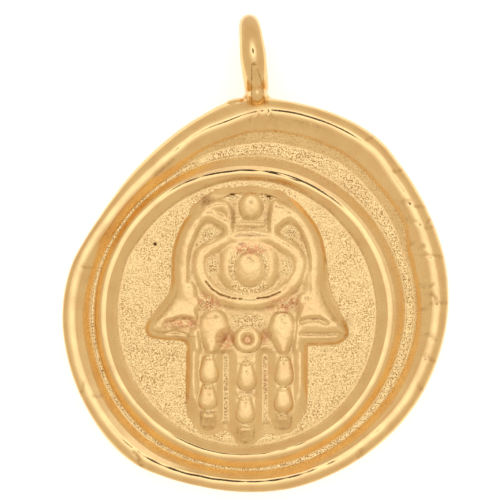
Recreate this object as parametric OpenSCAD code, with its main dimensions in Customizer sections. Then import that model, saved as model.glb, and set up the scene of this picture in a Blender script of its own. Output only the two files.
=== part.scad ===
// Hamsa pendant: a cast seal-style medallion with an uneven rim, a ring round
// its field, a raised hand with an eye, and a wire loop soldered to its edge.
// It lies on its back, so the loop and the far edge both touch the surface.

/* [Medallion] */
// Width of the medallion, twice the mean radius of its uneven outline
disc_w = 22; // [19:0.5:30]
// Thickness at the crest of the rim
rim_t = 2.2; // [1.8:0.1:3]
// Depth of the channel's floor below the crest of the rim
channel_depth = 0.65; // [0.4:0.05:0.9]
// Width of the rounded crests of the rim and of the ring
crest_w = 0.34; // [0.2:0.02:0.4]
// Radius of the rounding round the edge of the back
back_round = 0.4; // [0.2:0.05:0.6]

/* [Ring] */
// Diameter of the ring round the field, along its crest
ring_d = 16.3; // [13:0.1:17]
// Height of the ring's crest above the channel's floor
ring_rise = 0.5; // [0.3:0.05:0.65]
// Depth of the field below the ring's crest
field_drop = 0.4; // [0.25:0.05:0.6]
// How far the ring stands off the middle, towards the upper left
ring_shift = 0.18; // [0:0.02:0.3]

/* [Hand] */
// Length of the hand, from the top of its arch to the middle fingertip
hand_l = 14.9; // [11:0.1:15.3]
// Height of the palm's border above the field
hand_rise = 0.4; // [0.3:0.05:0.6]
// Width of the sloping wall round the palm
wall_w = 0.5; // [0.3:0.05:0.6]
// Width of the palm's border
border_w = 0.3; // [0.2:0.05:0.4]
// Depth of the palm below its border
palm_drop = 0.14; // [0.1:0.02:0.24]
// Height of the fingers' flats above the field
finger_rise = 0.28; // [0.2:0.02:0.36]
// Width of the sloping walls between the fingers
finger_wall_w = 0.42; // [0.3:0.02:0.5]
// Height of the beads above the fingers' flats
bead_rise = 0.18; // [0.12:0.02:0.3]

/* [Eye and crown] */
// Width of the eye's lids
lid_w = 0.44; // [0.3:0.02:0.5]
// Height of the eye's lids above the palm
lid_rise = 0.16; // [0.12:0.02:0.3]
// Height of the pupil above the palm
pupil_rise = 0.22; // [0.14:0.02:0.4]
// Height of the crown's bead, bars and petals above the palm
crown_rise = 0.18; // [0.12:0.02:0.3]

/* [Loop] */
// Diameter of the loop's hole
loop_hole = 2.5; // [2.2:0.1:3.6]
// Thickness of the loop's wire
loop_wire = 1.3; // [1:0.05:1.6]
// How deep the loop is set into the edge of the rim
loop_sink = 0.2; // [0.16:0.02:0.6]
// Lean of the loop to the left, in degrees
loop_lean = 6.5; // [0:0.5:10]

/* [Hidden] */
gold = [0.87, 0.70, 0.44];
$fn = 48;

// Sections of the medallion, one for each 15 degrees, counter-clockwise from
// the right. The outline and the crest are shares of the mean radius; the step
// and the edges of the channel's floor are shares of the way from the ring's
// crest to the rim's crest.
row_step = 15;
OUTLINE = 0;
CREST = 1;
STEP = 2;
FLOOR_OUT = 3;
FLOOR_IN = 4;
SECTIONS = [
    // outline, crest, step, floor_out, floor_in
    [1.031, 0.969, 0.65, 0.52, 0.34],
    [1.055, 0.984, 0.65, 0.49, 0.32],
    [1.069, 1.003, 0.75, 0.52, 0.29],
    [1.102, 1.044, 0.70, 0.52, 0.24],
    [1.134, 1.073, 0.68, 0.50, 0.22],
    [1.127, 1.070, 0.67, 0.48, 0.22],
    [1.122, 1.055, 0.62, 0.44, 0.23],
    [1.060, 0.982, 0.61, 0.46, 0.26],
    [0.984, 0.912, 0.57, 0.44, 0.30],
    [0.939, 0.886, 0.58, 0.45, 0.34],
    [0.931, 0.891, 0.57, 0.42, 0.31],
    [0.958, 0.914, 0.57, 0.40, 0.30],
    [0.971, 0.925, 0.56, 0.39, 0.30],
    [0.972, 0.925, 0.57, 0.42, 0.33],
    [0.978, 0.925, 0.61, 0.46, 0.37],
    [0.987, 0.926, 0.63, 0.49, 0.40],
    [0.964, 0.907, 0.67, 0.54, 0.44],
    [0.932, 0.881, 0.69, 0.58, 0.47],
    [0.929, 0.874, 0.71, 0.59, 0.48],
    [0.935, 0.875, 0.72, 0.59, 0.45],
    [0.941, 0.882, 0.70, 0.57, 0.42],
    [0.958, 0.896, 0.68, 0.54, 0.39],
    [0.982, 0.922, 0.66, 0.54, 0.34],
    [1.005, 0.940, 0.65, 0.54, 0.32],
];
stations = 90;

disc_r = disc_w / 2;
ring_r = ring_d / 2;
// Heights of the medallion's levels above its back
channel_z = rim_t - channel_depth;
ring_z = channel_z + ring_rise;
field_z = ring_z - field_drop;
// The edge stands straight up to this share of the thickness
shoulder_share = 0.68;
shoulder_z = rim_t * shoulder_share;
// A crest falls off at its sides by this share of its width
crest_round = 0.2;
crest_drop = crest_w * crest_round;
// The bevel over the shoulder: share of its width in, share of its height up
BEVEL_FORM = [[0.19, 0.52], [0.57, 0.85]];
// The channel's outer wall is steep at the step: share of the way from the
// step to the wall's two ends, and share of the wall's height
wall_reach = 0.4;
wall_upper = 0.62;
wall_lower = 0.2;

// The direction in which the ring stands off the middle
ring_shift_dir = 150;
// The ring's inner slope, as a share of its radius, is widest at the sides
slope_mean = 0.077;
slope_swing = 0.021;

// Places on the hand are in hundredths of its length, from the middle
grid = hand_l / 100;
arch = [-0.2, 19.3];
arch_r = 29.5;
arch_step = 7.5;
palm_bottom = -12.1;
// How far a raised piece goes down into what carries it
root = 0.1;

palm_z = field_z + hand_rise - palm_drop;
border_z = field_z + hand_rise;
finger_z = field_z + finger_rise;

// Right thumb, from the fingers out to its tip and up to the palm's side
RIGHT_THUMB = [
    [21.9, palm_bottom], [33.4, -12.1], [36.6, -10.4], [37.7, -6.8],
    [36.6, -3.1], [33.4, 2.0], [30.2, 7.1], [28.9, 12.8],
];
// Left thumb, from the palm's side out to its tip and back to the fingers
LEFT_THUMB = [
    [-29.8, 9.7], [-32.4, 5.2], [-36.2, 0.7], [-39.1, -3.1],
    [-39.7, -6.8], [-37.6, -9.6], [-33.6, -10.4], [-24.8, -10.6], [-23.8, palm_bottom],
];
// Each finger's foot, with the outer fingers rounded at the ring's side
FINGERS = [
    [[-23.8, -8], [-23.6, -39.5], [-21.5, -45], [-17, -46.8], [-9.8, -46.6], [-9.8, -8]],
    [[-8.2, -8], [-8.4, -49.5], [-4.5, -52.2], [2.5, -52.2], [5.6, -49.5], [5.6, -8]],
    [[7.1, -8], [7.1, -45.4], [13, -46], [19, -44.3], [21.6, -40], [21.9, -8]],
];
// Beads on the fingers
BEADS = [
    // middle line, upper end, lower end, half width
    [-15.6, -16.6, -26.7, 3.1],
    [-15.6, -27.0, -36.2, 3.2],
    [-15.6, -36.6, -43.9, 2.3],
    [-1.1, -18.8, -29.3, 3.2],
    [-1.1, -31.6, -41.8, 3.3],
    [-1.1, -42.1, -49.0, 2.6],
    [13.4, -17.0, -27.4, 3.1],
    [13.4, -27.8, -37.4, 3.2],
    [13.4, -37.7, -43.9, 2.5],
];
// A bead's radius at each share of its length
BEAD_FORM = [[0, 0.8], [0.12, 0.92], [0.3, 0.99], [0.5, 1], [0.7, 0.99], [0.88, 0.92], [1, 0.8]];

// Raised petals and bars: a middle line with its half width
TULIPS = [
    [[-13.7, 0.3, 3.4], [-13.7, -2.2, 4.9], [-13.7, -5.5, 4.3], [-13.8, -9.5, 2.6], [-13.9, -13.3, 0.9]],
    [[13.0, 0.3, 3.4], [13.0, -2.2, 4.8], [13.0, -5.5, 4.2], [12.9, -9.5, 2.5], [12.8, -13.3, 0.9]],
];
PETALS = [
    [[-12.3, 42.6, 1.2], [-10.0, 39.5, 2.3], [-8.3, 35.5, 1.8], [-8.4, 32.0, 1.1], [-9.0, 29.6, 0.9]],
    [[12.4, 42.3, 1.3], [11.5, 39.2, 2.6], [10.2, 35.5, 2.0], [9.4, 32.3, 1.2], [9.4, 29.8, 0.9]],
    [[-5.3, 33.9, 0.9], [0, 34.1, 0.9], [5.7, 33.9, 0.9]],
    [[-3.8, 31.2, 0.7], [0.5, 31.4, 0.7], [5.7, 31.2, 0.7]],
];
// Outer borders of the fingers, a little lower than the palm's
border_step = 0.02;
FINGER_BORDERS = [
    [[-20.4, -9.5, 1.5], [-20.3, -30, 1.4], [-20.2, -41.5, 1.1]],
    [[18.6, -9.5, 1.5], [18.6, -30, 1.4], [18.4, -41, 1.1]],
];
// Round bosses: middle, half width
BOSSES = [[0.4, 40.9, 3.5], [-24.3, 5.4, 1.7], [-20.4, 3.9, 1.9], [20.0, 3.9, 1.9], [24.1, 6.3, 1.7]];
// Round dimples beside the ringed boss: middle, half width
DIMPLES = [[-9.1, -9.5, 2.3], [6.2, -8.6, 1.9]];
dimple_depth = 0.12;
// Hollows in the thumbs
THUMB_HOLLOWS = [
    [[-34.8, -4.6], [-33.4, -6.6], [-24.2, -7.0], [-22.4, -4.8], [-25, -1.6], [-32.6, -2.2]],
    [[19.8, -6.6], [31.2, -6.9], [32.6, -4.6], [29, -2.4], [20.6, -3.0]],
];
thumb_hollow_depth = 0.12;

// The eye: a deep lower lid on one arc, and an upper lid with a flat top
eye = [0.1, 23.9];
lid_r = 20.6;
lid_from = 195;
lid_to = 345;
lid_turn = 10;
UPPER_LID = [
    [19.7, 21.0], [18.2, 23.3], [14.6, 25.7], [11.2, 27.7], [8.4, 29.1],
    [-7.2, 29.2], [-9.8, 28.1], [-14.4, 25.8], [-18.5, 23.4], [-19.7, 21.1],
];
iris = [0.2, 18.6];
iris_r = 8.4;
iris_w = 1.3;
pupil = [-0.1, 17.1];
pupil_w = 5.1;
pupil_l = 6.0;
// The ringed boss below the palm: middle, radius, and its section as a share
// of that radius and a share of its height
ringed_boss = [-0.8, -10.2];
ringed_boss_r = 3.9;
RINGED_BOSS_FORM = [[1, 0], [0.92, 0.5], [0.74, 1], [0.5, 1], [0.38, 0.3], [0.38, 0]];

// The section of a raised line: share of its half width, share of its height
RIDGE_FORM = [[-0.8, 0.55], [-0.45, 0.88], [0, 1], [0.45, 0.88], [0.8, 0.55]];

// One value of the sections at any angle, on a smooth curve through the rows
function section_value(a, column) =
    let (
        n = len(SECTIONS),
        i = floor(a / row_step),
        t = a / row_step - i,
        p = [for (k = [-1 : 2]) SECTIONS[(i + k + n) % n][column]]
    )
    p[1] + t / 2 * (p[2] - p[0] + t * (2 * p[0] - 5 * p[1] + 4 * p[2] - p[3]
        + t * (3 * (p[1] - p[2]) + p[3] - p[0])));

// The medallion's section at one angle: distance from the middle and height
function section(a) =
    let (
        outline = disc_r * section_value(a, OUTLINE),
        crest = disc_r * section_value(a, CREST),
        ring = ring_r + ring_shift * cos(a - ring_shift_dir),
        gap = crest - ring,
        step = ring + gap * section_value(a, STEP),
        floor_out = ring + gap * section_value(a, FLOOR_OUT),
        floor_in = ring + gap * section_value(a, FLOOR_IN),
        foot = ring - ring_r * (slope_mean + slope_swing * cos(2 * a)),
        half = crest_w / 2,
        crest_low = rim_t - crest_drop,
        ring_low = ring_z - crest_drop,
        bevel = outline - crest - half,
        bevel_h = crest_low - shoulder_z,
        wall_h = crest_low - channel_z,
        corner = back_round * (1 - cos(45))
    ) [
        [outline - back_round, 0],
        [outline - corner, corner],
        [outline, back_round],
        [outline, shoulder_z],
        each [for (b = BEVEL_FORM) [outline - b[0] * bevel, shoulder_z + b[1] * bevel_h]],
        [crest + half, crest_low],
        [crest, rim_t],
        [crest - half, crest_low],
        [step + wall_reach * (crest - half - step), channel_z + wall_upper * wall_h],
        [step - wall_reach * (step - floor_out), channel_z + wall_lower * wall_h],
        [floor_out, channel_z],
        [floor_in, channel_z],
        [ring + half, ring_low],
        [ring, ring_z],
        [ring - half, ring_low],
        [foot, field_z],
    ];

// All points of the medallion, section by section
angles = [for (i = [0 : stations - 1]) 360 * i / stations];
body_sections = [for (a = angles) section(a)];
body_points = [
    for (i = [0 : stations - 1]) for (p = body_sections[i])
        [p[0] * cos(angles[i]), p[0] * sin(angles[i]), p[1]]
];

// The loop: its wire is a round section with a narrow flat at the hole
loop_flat = 0.05;
loop_mid_r = loop_hole / 2 - loop_flat + loop_wire / 2;
loop_out_r = loop_mid_r + loop_wire / 2;
loop_y = disc_r * section_value(90, OUTLINE) + loop_out_r - loop_sink;
loop_x = 0.2;
loop_z = rim_t / 2;

// Lying on its back, the part tilts until the loop and the far edge touch
far_edge = -min([for (p = body_points) if (p[2] == 0) p[1]]);
tilt_reach = sqrt((loop_y + far_edge) ^ 2 + loop_z ^ 2);
rest_tilt = max(0, asin(loop_out_r / tilt_reach) - atan2(loop_z, loop_y + far_edge));

// The lying part's box, from the tilted points and the tilted loop
tilted_points = [
    for (p = body_points)
        [p[0], p[1] * cos(rest_tilt) - p[2] * sin(rest_tilt), p[1] * sin(rest_tilt) + p[2] * cos(rest_tilt)]
];
loop_top = loop_y * cos(rest_tilt) - loop_z * sin(rest_tilt) + loop_wire / 2
    + loop_mid_r * sqrt(1 - (sin(loop_lean) * cos(rest_tilt)) ^ 2);
loop_low = loop_y * sin(rest_tilt) + loop_z * cos(rest_tilt) - loop_wire / 2
    - loop_mid_r * sqrt(1 - (sin(loop_lean) * sin(rest_tilt)) ^ 2);
box_x = [min([for (p = tilted_points) p[0]]), max([for (p = tilted_points) p[0]])];
box_y = [min([for (p = tilted_points) p[1]]), loop_top];
box_low = min(loop_low, min([for (p = tilted_points) p[2]]));

// A point of the hand in millimetres
function place(p) = [p[0] * grid, p[1] * grid];
function places(points) = [for (p = points) place(p)];

// An outline moved inwards by d, or outwards where d is negative
function inset(points, d) =
    let (
        n = len(points),
        sides = [
            for (i = [0 : n - 1])
                let (e = points[(i + 1) % n] - points[i]) [-e[1], e[0]] / norm(e)
        ]
    ) [
        for (i = [0 : n - 1])
            let (a = sides[(i + n - 1) % n], b = sides[i]) points[i] + (a + b) / (1 + a * b) * d
    ];

// Points on an arc
function arc(middle, r, from, to, turn) =
    [for (a = [from : turn : to]) [middle[0] + r * cos(a), middle[1] + r * sin(a)]];

palm_outline = places(concat(RIGHT_THUMB, arc(arch, arch_r, 0, 180, arch_step), LEFT_THUMB));
// The hollow of the palm, inside its border
pocket_r = arch_r - (wall_w + border_w) / grid;
POCKET_FOOT = [[-20.6, 2.0], [-19.6, -11.6], [17.6, -11.6], [19.4, 2.0]];
pocket_outline = places(concat(
    arc(arch, pocket_r, 0, 180, arch_step),
    [[arch[0] - pocket_r, 6.5]], POCKET_FOOT, [[arch[0] + pocket_r, 6.5]]
));
lid_path = [
    for (p = concat(arc(eye, lid_r, lid_from, lid_to, lid_turn), UPPER_LID))
        [p[0] * grid, p[1] * grid, lid_w / 2]
];

// A solid between two outlines, each of which its middle point sees whole
module loft(low, high, low_z, high_z, middle) {
    n = len(low);
    points = concat(
        [for (p = low) [p[0], p[1], low_z]],
        [for (p = high) [p[0], p[1], high_z]],
        [[middle[0], middle[1], low_z], [middle[0], middle[1], high_z]]
    );
    faces = [
        for (i = [0 : n - 1])
            let (j = (i + 1) % n)
            each [[i, n + i, n + j], [i, n + j, j], [2 * n, i, j], [2 * n + 1, n + j, n + i]]
    ];
    polyhedron(points, faces);
}

// A flat-topped piece of relief whose wall slopes out as it goes down
module raised(outline, base_z, top_z, slope_w, middle) {
    spread = slope_w * root / (top_z - base_z);
    loft(inset(outline, -spread), inset(outline, slope_w), base_z - root, top_z, middle);
}

// A rounded line of relief along rows of x, y and half width, in millimetres
module ridge(rows, base_z, top_z, closed = false) {
    n = len(rows);
    m = len(RIDGE_FORM) + 2;
    last = closed ? n - 1 : n - 2;
    sides = [
        for (i = [0 : n - 1])
            let (
                before = closed ? (i + n - 1) % n : max(i - 1, 0),
                after = closed ? (i + 1) % n : min(i + 1, n - 1),
                e = [rows[after][0] - rows[before][0], rows[after][1] - rows[before][1]]
            )
            [e[1], -e[0]] / norm(e)
    ];
    form = concat([[-1, -root / (top_z - base_z)]], RIDGE_FORM, [[1, -root / (top_z - base_z)]]);
    points = [
        for (i = [0 : n - 1]) for (s = form)
            [
                rows[i][0] + sides[i][0] * s[0] * rows[i][2],
                rows[i][1] + sides[i][1] * s[0] * rows[i][2],
                base_z + s[1] * (top_z - base_z)
            ]
    ];
    walls = [
        for (i = [0 : last]) for (j = [0 : m - 1])
            let (a = i * m + j, b = i * m + (j + 1) % m, c = (i + 1) % n * m + j, d = (i + 1) % n * m + (j + 1) % m)
            each [[a, c, d], [a, d, b]]
    ];
    ends = closed ? [] : [[for (j = [0 : m - 1]) j], [for (j = [m - 1 : -1 : 0]) (n - 1) * m + j]];
    polyhedron(points, concat(walls, ends));
}

// The radius of a round form that shows a half width and a height above its base
function round_r(half_w, rise) = (half_w ^ 2 + rise ^ 2) / (2 * rise);

// A round dome of a given half width and height above its base
module dome(middle, half_w, base_z, rise) {
    r = round_r(half_w, rise);
    translate([middle[0], middle[1], base_z])
        rotate_extrude() intersection() {
            translate([0, rise - r]) circle(r);
            translate([0, -root]) square([2 * half_w, rise + 2 * root]);
        }
}

// A barrel that lies along Y, its top a set height above its base
module barrel(x, upper_y, lower_y, half_w, base_z, rise) {
    r = round_r(half_w, rise);
    l = upper_y - lower_y;
    intersection() {
        translate([x, upper_y, base_z + rise - r]) rotate([90, 0, 0])
            rotate_extrude()
                polygon(concat([[0, l], [0, 0]], [for (s = BEAD_FORM) [s[1] * r, s[0] * l]]));
        translate([x - 2 * half_w, lower_y - root, base_z - root])
            cube([4 * half_w, l + 2 * root, rise + 2 * root]);
    }
}

module medallion_body() {
    m = len(body_sections[0]);
    walls = [
        for (i = [0 : stations - 1]) for (j = [0 : m - 2])
            let (a = i * m + j, b = (i + 1) % stations * m + j)
            each [[a, a + 1, b + 1], [a, b + 1, b]]
    ];
    back = [for (i = [0 : stations - 1]) i * m];
    field = [for (i = [stations - 1 : -1 : 0]) i * m + m - 1];
    color(gold) polyhedron(body_points, concat(walls, [back, field]));
}

module palm() {
    color(gold) difference() {
        raised(palm_outline, field_z, border_z, wall_w, [0, 0]);
        loft(inset(pocket_outline, palm_drop), inset(pocket_outline, -palm_drop),
            palm_z, border_z + palm_drop, place([0, 10]));
        for (hollow = THUMB_HOLLOWS)
            translate([0, 0, border_z - thumb_hollow_depth]) linear_extrude(1) polygon(places(hollow));
        for (d = DIMPLES)
            translate([d[0] * grid, d[1] * grid, palm_z + d[2] * grid - dimple_depth])
                sphere(d[2] * grid);
    }
}

module fingers() {
    color(gold) {
        for (f = FINGERS)
            raised(places(f), field_z, finger_z, finger_wall_w, place([(f[0][0] + f[5][0]) / 2, -20]));
        for (border = FINGER_BORDERS)
            ridge([for (row = border) row * grid], finger_z, border_z - border_step);
    }
}

module finger_beads() {
    color(gold) for (b = BEADS)
        barrel(b[0] * grid, b[1] * grid, b[2] * grid, b[3] * grid, finger_z, bead_rise);
}

// The pupil's long dome: each slice across it is an arc of a smaller circle
module pupil_dome() {
    l = pupil_l * grid;
    r = round_r(pupil_w * grid, pupil_rise);
    intersection() {
        translate([pupil[0] * grid, pupil[1] * grid, palm_z + pupil_rise - r])
            rotate([90, 0, 0]) rotate_extrude() polygon(concat([[0, l], [0, -l]], [
                for (t = [-1 : 0.2 : 1]) [r + (pupil_rise + root) * (sqrt(1 - t * t) - 1), t * l]
            ]));
        translate([(pupil[0] - 2 * pupil_w) * grid, pupil[1] * grid - 2 * l, palm_z - root])
            cube([4 * pupil_w * grid, 4 * l, pupil_rise + 2 * root]);
    }
}

module eye_relief() {
    color(gold) {
        ridge(lid_path, palm_z, palm_z + lid_rise, true);
        translate([iris[0] * grid, iris[1] * grid, palm_z])
            rotate_extrude() translate([iris_r * grid, -root]) circle(iris_w * grid);
        pupil_dome();
    }
}

module crown_and_petals() {
    color(gold) {
        for (p = PETALS) ridge([for (row = p) row * grid], palm_z, palm_z + crown_rise);
        for (t = TULIPS) ridge([for (row = t) row * grid], palm_z, palm_z + crown_rise);
        for (b = BOSSES) dome(place(b), b[2] * grid, palm_z, crown_rise);
        translate([ringed_boss[0] * grid, ringed_boss[1] * grid, finger_z])
            rotate_extrude() polygon([
                for (p = RINGED_BOSS_FORM)
                    [p[0] * ringed_boss_r * grid, p[1] > 0 ? p[1] * bead_rise : -root]
            ]);
    }
}

module hanging_loop() {
    color(gold) translate([loop_x, loop_y, loop_z]) rotate([0, 90, loop_lean])
        rotate_extrude() intersection() {
            translate([loop_mid_r, 0]) circle(loop_wire / 2);
            translate([loop_hole / 2, -loop_wire]) square([loop_wire * 2, loop_wire * 2]);
        }
}

module pendant() {
    translate([-(box_x[0] + box_x[1]) / 2, -(box_y[0] + box_y[1]) / 2, -box_low])
        rotate([rest_tilt, 0, 0]) {
            medallion_body();
            palm();
            fingers();
            finger_beads();
            eye_relief();
            crown_and_petals();
            hanging_loop();
        }
}

pendant();
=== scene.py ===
"""Hamsa pendant: a gold-plated cast medallion with a raised hand and a wire loop.

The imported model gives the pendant's place and size. Every visible surface is modelled here as
a finer mesh in the coin's own frame (millimetres, its plain back at height 0), then laid down
in the row's frame, tilted as the pendant rests on its back and its loop.
"""
from __future__ import annotations

import logging
import math
from dataclasses import dataclass, field
from enum import Enum
from typing import NamedTuple

import bmesh
import bpy
import numpy as np
from mathutils import Matrix, Vector

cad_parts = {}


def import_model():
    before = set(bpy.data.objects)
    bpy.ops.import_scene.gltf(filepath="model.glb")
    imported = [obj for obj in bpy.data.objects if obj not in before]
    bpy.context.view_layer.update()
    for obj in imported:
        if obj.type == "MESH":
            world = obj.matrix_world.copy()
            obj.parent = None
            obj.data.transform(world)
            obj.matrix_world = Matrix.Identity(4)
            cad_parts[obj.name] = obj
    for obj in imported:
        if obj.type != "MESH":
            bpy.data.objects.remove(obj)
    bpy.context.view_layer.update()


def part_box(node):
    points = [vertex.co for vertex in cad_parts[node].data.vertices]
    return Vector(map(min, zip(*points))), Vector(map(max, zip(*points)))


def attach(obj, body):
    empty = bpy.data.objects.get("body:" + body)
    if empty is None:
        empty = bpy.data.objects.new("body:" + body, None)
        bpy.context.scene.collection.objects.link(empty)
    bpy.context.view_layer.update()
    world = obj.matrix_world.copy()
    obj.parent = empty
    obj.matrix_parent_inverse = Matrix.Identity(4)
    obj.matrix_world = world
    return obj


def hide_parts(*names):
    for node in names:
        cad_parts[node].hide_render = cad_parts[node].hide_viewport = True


LOG = logging.getLogger("pendant")
MM = 0.001
NODE = "pendant"

# Places on the face are counted in shares of the medallion's width, from its middle.
SHARES = 385.0
# Where something starts and where it is full
Stretch = tuple[float, float]


def srgb(hex_colour: str) -> tuple[float, float, float, float]:
    """Turn an sRGB hex colour into linear values.

    Args:
        hex_colour: six hex digits after a hash sign.

    Returns:
        Linear red, green, blue and a full alpha.
    """
    levels = [int(hex_colour[i:i + 2], 16) / 255 for i in (1, 3, 5)]
    linear = [v / 12.92 if v <= 0.04045 else ((v + 0.055) / 1.055) ** 2.4 for v in levels]
    return (linear[0], linear[1], linear[2], 1.0)


def add_node(tree: bpy.types.NodeTree, kind: str, settings: dict | None = None,
             inputs: dict | None = None) -> bpy.types.Node:
    """Add one node, set it up and link it.

    Args:
        tree: the node tree to add to.
        kind: Blender's name for the node type.
        settings: properties of the node itself.
        inputs: input names or numbers, each with a value or a socket to link from.

    Returns:
        The new node.
    """
    made = tree.nodes.new(kind)
    for name, value in (settings or {}).items():
        setattr(made, name, value)
    for name, value in (inputs or {}).items():
        if isinstance(value, bpy.types.NodeSocket):
            tree.links.new(value, made.inputs[name])
        else:
            made.inputs[name].default_value = value
    return made


def smooth_max(a: np.ndarray, b: np.ndarray, blend: float) -> np.ndarray:
    """Return the larger of two heights, with a soft fillet where they cross.

    Args:
        a: first heights in millimetres.
        b: second heights in millimetres.
        blend: size of the fillet in millimetres.

    Returns:
        The blended heights.
    """
    return 0.5 * (a + b + np.sqrt((a - b) ** 2 + blend ** 2))


def soft_step(x: np.ndarray) -> np.ndarray:
    """Rise smoothly from 0 to 1 as x goes from 0 to 1."""
    t = np.clip(x, 0.0, 1.0)
    return t * t * (3 - 2 * t)


def fade(x: np.ndarray, start: float, end: float) -> np.ndarray:
    """Rise smoothly from 0 at start to 1 at end, either way."""
    return soft_step((x - start) / (end - start))


def ripple(x: np.ndarray, y: np.ndarray, wave: float, seed: int) -> np.ndarray:
    """Make a smooth uneven surface from a few waves in fixed directions.

    Args:
        x: places along X in millimetres.
        y: places along Y in millimetres.
        wave: the longest wave in millimetres.
        seed: picks the directions and phases.

    Returns:
        Values between about -1 and 1.
    """
    draw = np.random.default_rng(seed)
    total = np.zeros_like(x)
    for step in range(7):
        turn = draw.uniform(0, 2 * math.pi)
        phase = draw.uniform(0, 2 * math.pi)
        pitch = 2 * math.pi / (wave * draw.uniform(0.45, 1.0))
        total += np.sin(pitch * (x * math.cos(turn) + y * math.sin(turn)) + phase)
    return total / 3.5


def rounded_line(points: np.ndarray, radii: np.ndarray, steps: int) -> np.ndarray:
    """Round every inner corner of many polylines at once.

    Args:
        points: corners, shaped (corners, lines, 2).
        radii: one rounding radius for each corner in millimetres.
        steps: points on each rounded corner.

    Returns:
        Points shaped (points, lines, 2).
    """
    rows = [points[0]]
    along = np.linspace(0, 1, steps)[:, None, None]
    for i in range(1, len(points) - 1):
        into, out = points[i] - points[i - 1], points[i + 1] - points[i]
        len_in = np.linalg.norm(into, axis=-1, keepdims=True)
        len_out = np.linalg.norm(out, axis=-1, keepdims=True)
        into, out = into / len_in, out / len_out
        turn = np.arccos(np.clip((into * out).sum(-1, keepdims=True), -1, 1))
        reach = np.minimum(radii[i] * np.tan(turn / 2), 0.47 * np.minimum(len_in, len_out))
        start, end = points[i] - into * reach, points[i] + out * reach
        rows.extend((1 - along) ** 2 * start + 2 * along * (1 - along) * points[i] + along ** 2 * end)
    rows.append(points[-1])
    return np.array(rows)


def periodic_curve(at: np.ndarray, rows: np.ndarray, angles: np.ndarray) -> np.ndarray:
    """Run a smooth closed curve through a table's rows.

    Args:
        at: the table's angles in degrees, rising.
        rows: the table's values, one row for each angle.
        angles: the angles wanted, in degrees.

    Returns:
        One row of values for each angle wanted.
    """
    at_all = np.concatenate([at[-2:] - 360, at, at[:3] + 360])
    rows_all = np.concatenate([rows[-2:], rows, rows[:3]])
    slopes = (rows_all[2:] - rows_all[:-2]) / (at_all[2:] - at_all[:-2])[:, None]
    left = np.searchsorted(at_all, angles, side="right") - 1
    span = (at_all[left + 1] - at_all[left])[:, None]
    t = (angles - at_all[left])[:, None] / span
    low, high = rows_all[left], rows_all[left + 1]
    slope_low, slope_high = slopes[left - 1] * span, slopes[left] * span
    return ((1 + 2 * t) * (1 - t) ** 2 * low + t * (1 - t) ** 2 * slope_low
            + t * t * (3 - 2 * t) * high + t * t * (t - 1) * slope_high)


def round_outline(points: np.ndarray, rounds: int) -> np.ndarray:
    """Cut the corners of a closed outline a few times, so that it runs smoothly.

    Args:
        points: the corners in order.
        rounds: how many times they are cut.

    Returns:
        The new corners.
    """
    for _ in range(rounds):
        after = np.roll(points, -1, axis=0)
        points = np.stack([0.75 * points + 0.25 * after, 0.25 * points + 0.75 * after], 1)
        points = points.reshape(-1, 2)
    return points


def outline_depth(x: np.ndarray, y: np.ndarray, outline: np.ndarray) -> np.ndarray:
    """Measure how far each place lies inside a closed outline.

    Args:
        x: places along X.
        y: places along Y.
        outline: the corners in order.

    Returns:
        The distance to the outline, negative outside it.
    """
    nearest = np.full(x.shape, np.inf)
    inside = np.zeros(x.shape, bool)
    for a, b in zip(outline, np.roll(outline, -1, axis=0)):
        e = b - a
        t = np.clip(((x - a[0]) * e[0] + (y - a[1]) * e[1]) / max(e @ e, 1e-12), 0, 1)
        nearest = np.minimum(nearest, (x - a[0] - t * e[0]) ** 2 + (y - a[1] - t * e[1]) ** 2)
        if a[1] != b[1]:
            crosses = (a[1] > y) != (b[1] > y)
            inside ^= crosses & (x < e[0] * (y - a[1]) / e[1] + a[0])
    return np.where(inside, 1.0, -1.0) * np.sqrt(nearest)


def line_share(x: np.ndarray, y: np.ndarray, rows: np.ndarray) -> np.ndarray:
    """Measure how far each place lies from a line, as a share of the line's half width there.

    Args:
        x: places along X.
        y: places along Y.
        rows: the line's points as x, y and half width.

    Returns:
        0 on the line and 1 at its foot.
    """
    least = np.full(x.shape, np.inf)
    for a, b in zip(rows[:-1], rows[1:]):
        e = b[:2] - a[:2]
        t = np.clip(((x - a[0]) * e[0] + (y - a[1]) * e[1]) / max(e @ e, 1e-12), 0, 1)
        away = np.hypot(x - a[0] - t * e[0], y - a[1] - t * e[1])
        least = np.minimum(least, away / (a[2] + t * (b[2] - a[2])))
    return least


def crown_form(q: np.ndarray, power: np.ndarray | float) -> np.ndarray:
    """Give the height of a rounded top at a share q of its half width, and fall away past it."""
    inner = np.maximum(1 - q * q, 0.0) ** power
    return np.where(q < 1, inner, -2.0 * (q - 1))


def roll_form(q: np.ndarray) -> np.ndarray:
    """Give the height of a soft roll: a broad flat top that runs out gently at its foot."""
    return np.interp(q, (0, 0.3, 0.5, 0.8, 1.0, 1.3, 8.0), (1, 0.93, 0.74, 0.25, 0.05, -0.15, -8.0))


class WearAndShade(Enum):
    """Where the plating has changed, and where shade is painted in brown, each kept as a vertex attribute of
    that name.
    """

    GRAIN = "grain"
    COPPER = "copper"
    # Tarnish, and painted shade in corners, crevices and round raised forms
    BROWN = "brown"


class Mark(NamedTuple):
    """A patch on the plating, in shares of the medallion's width: copper, tarnish, dull polish and grain, and
    in some brown patches painted shade.
    """

    x: float
    y: float
    radius_x: float
    radius_y: float
    strength: float


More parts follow.
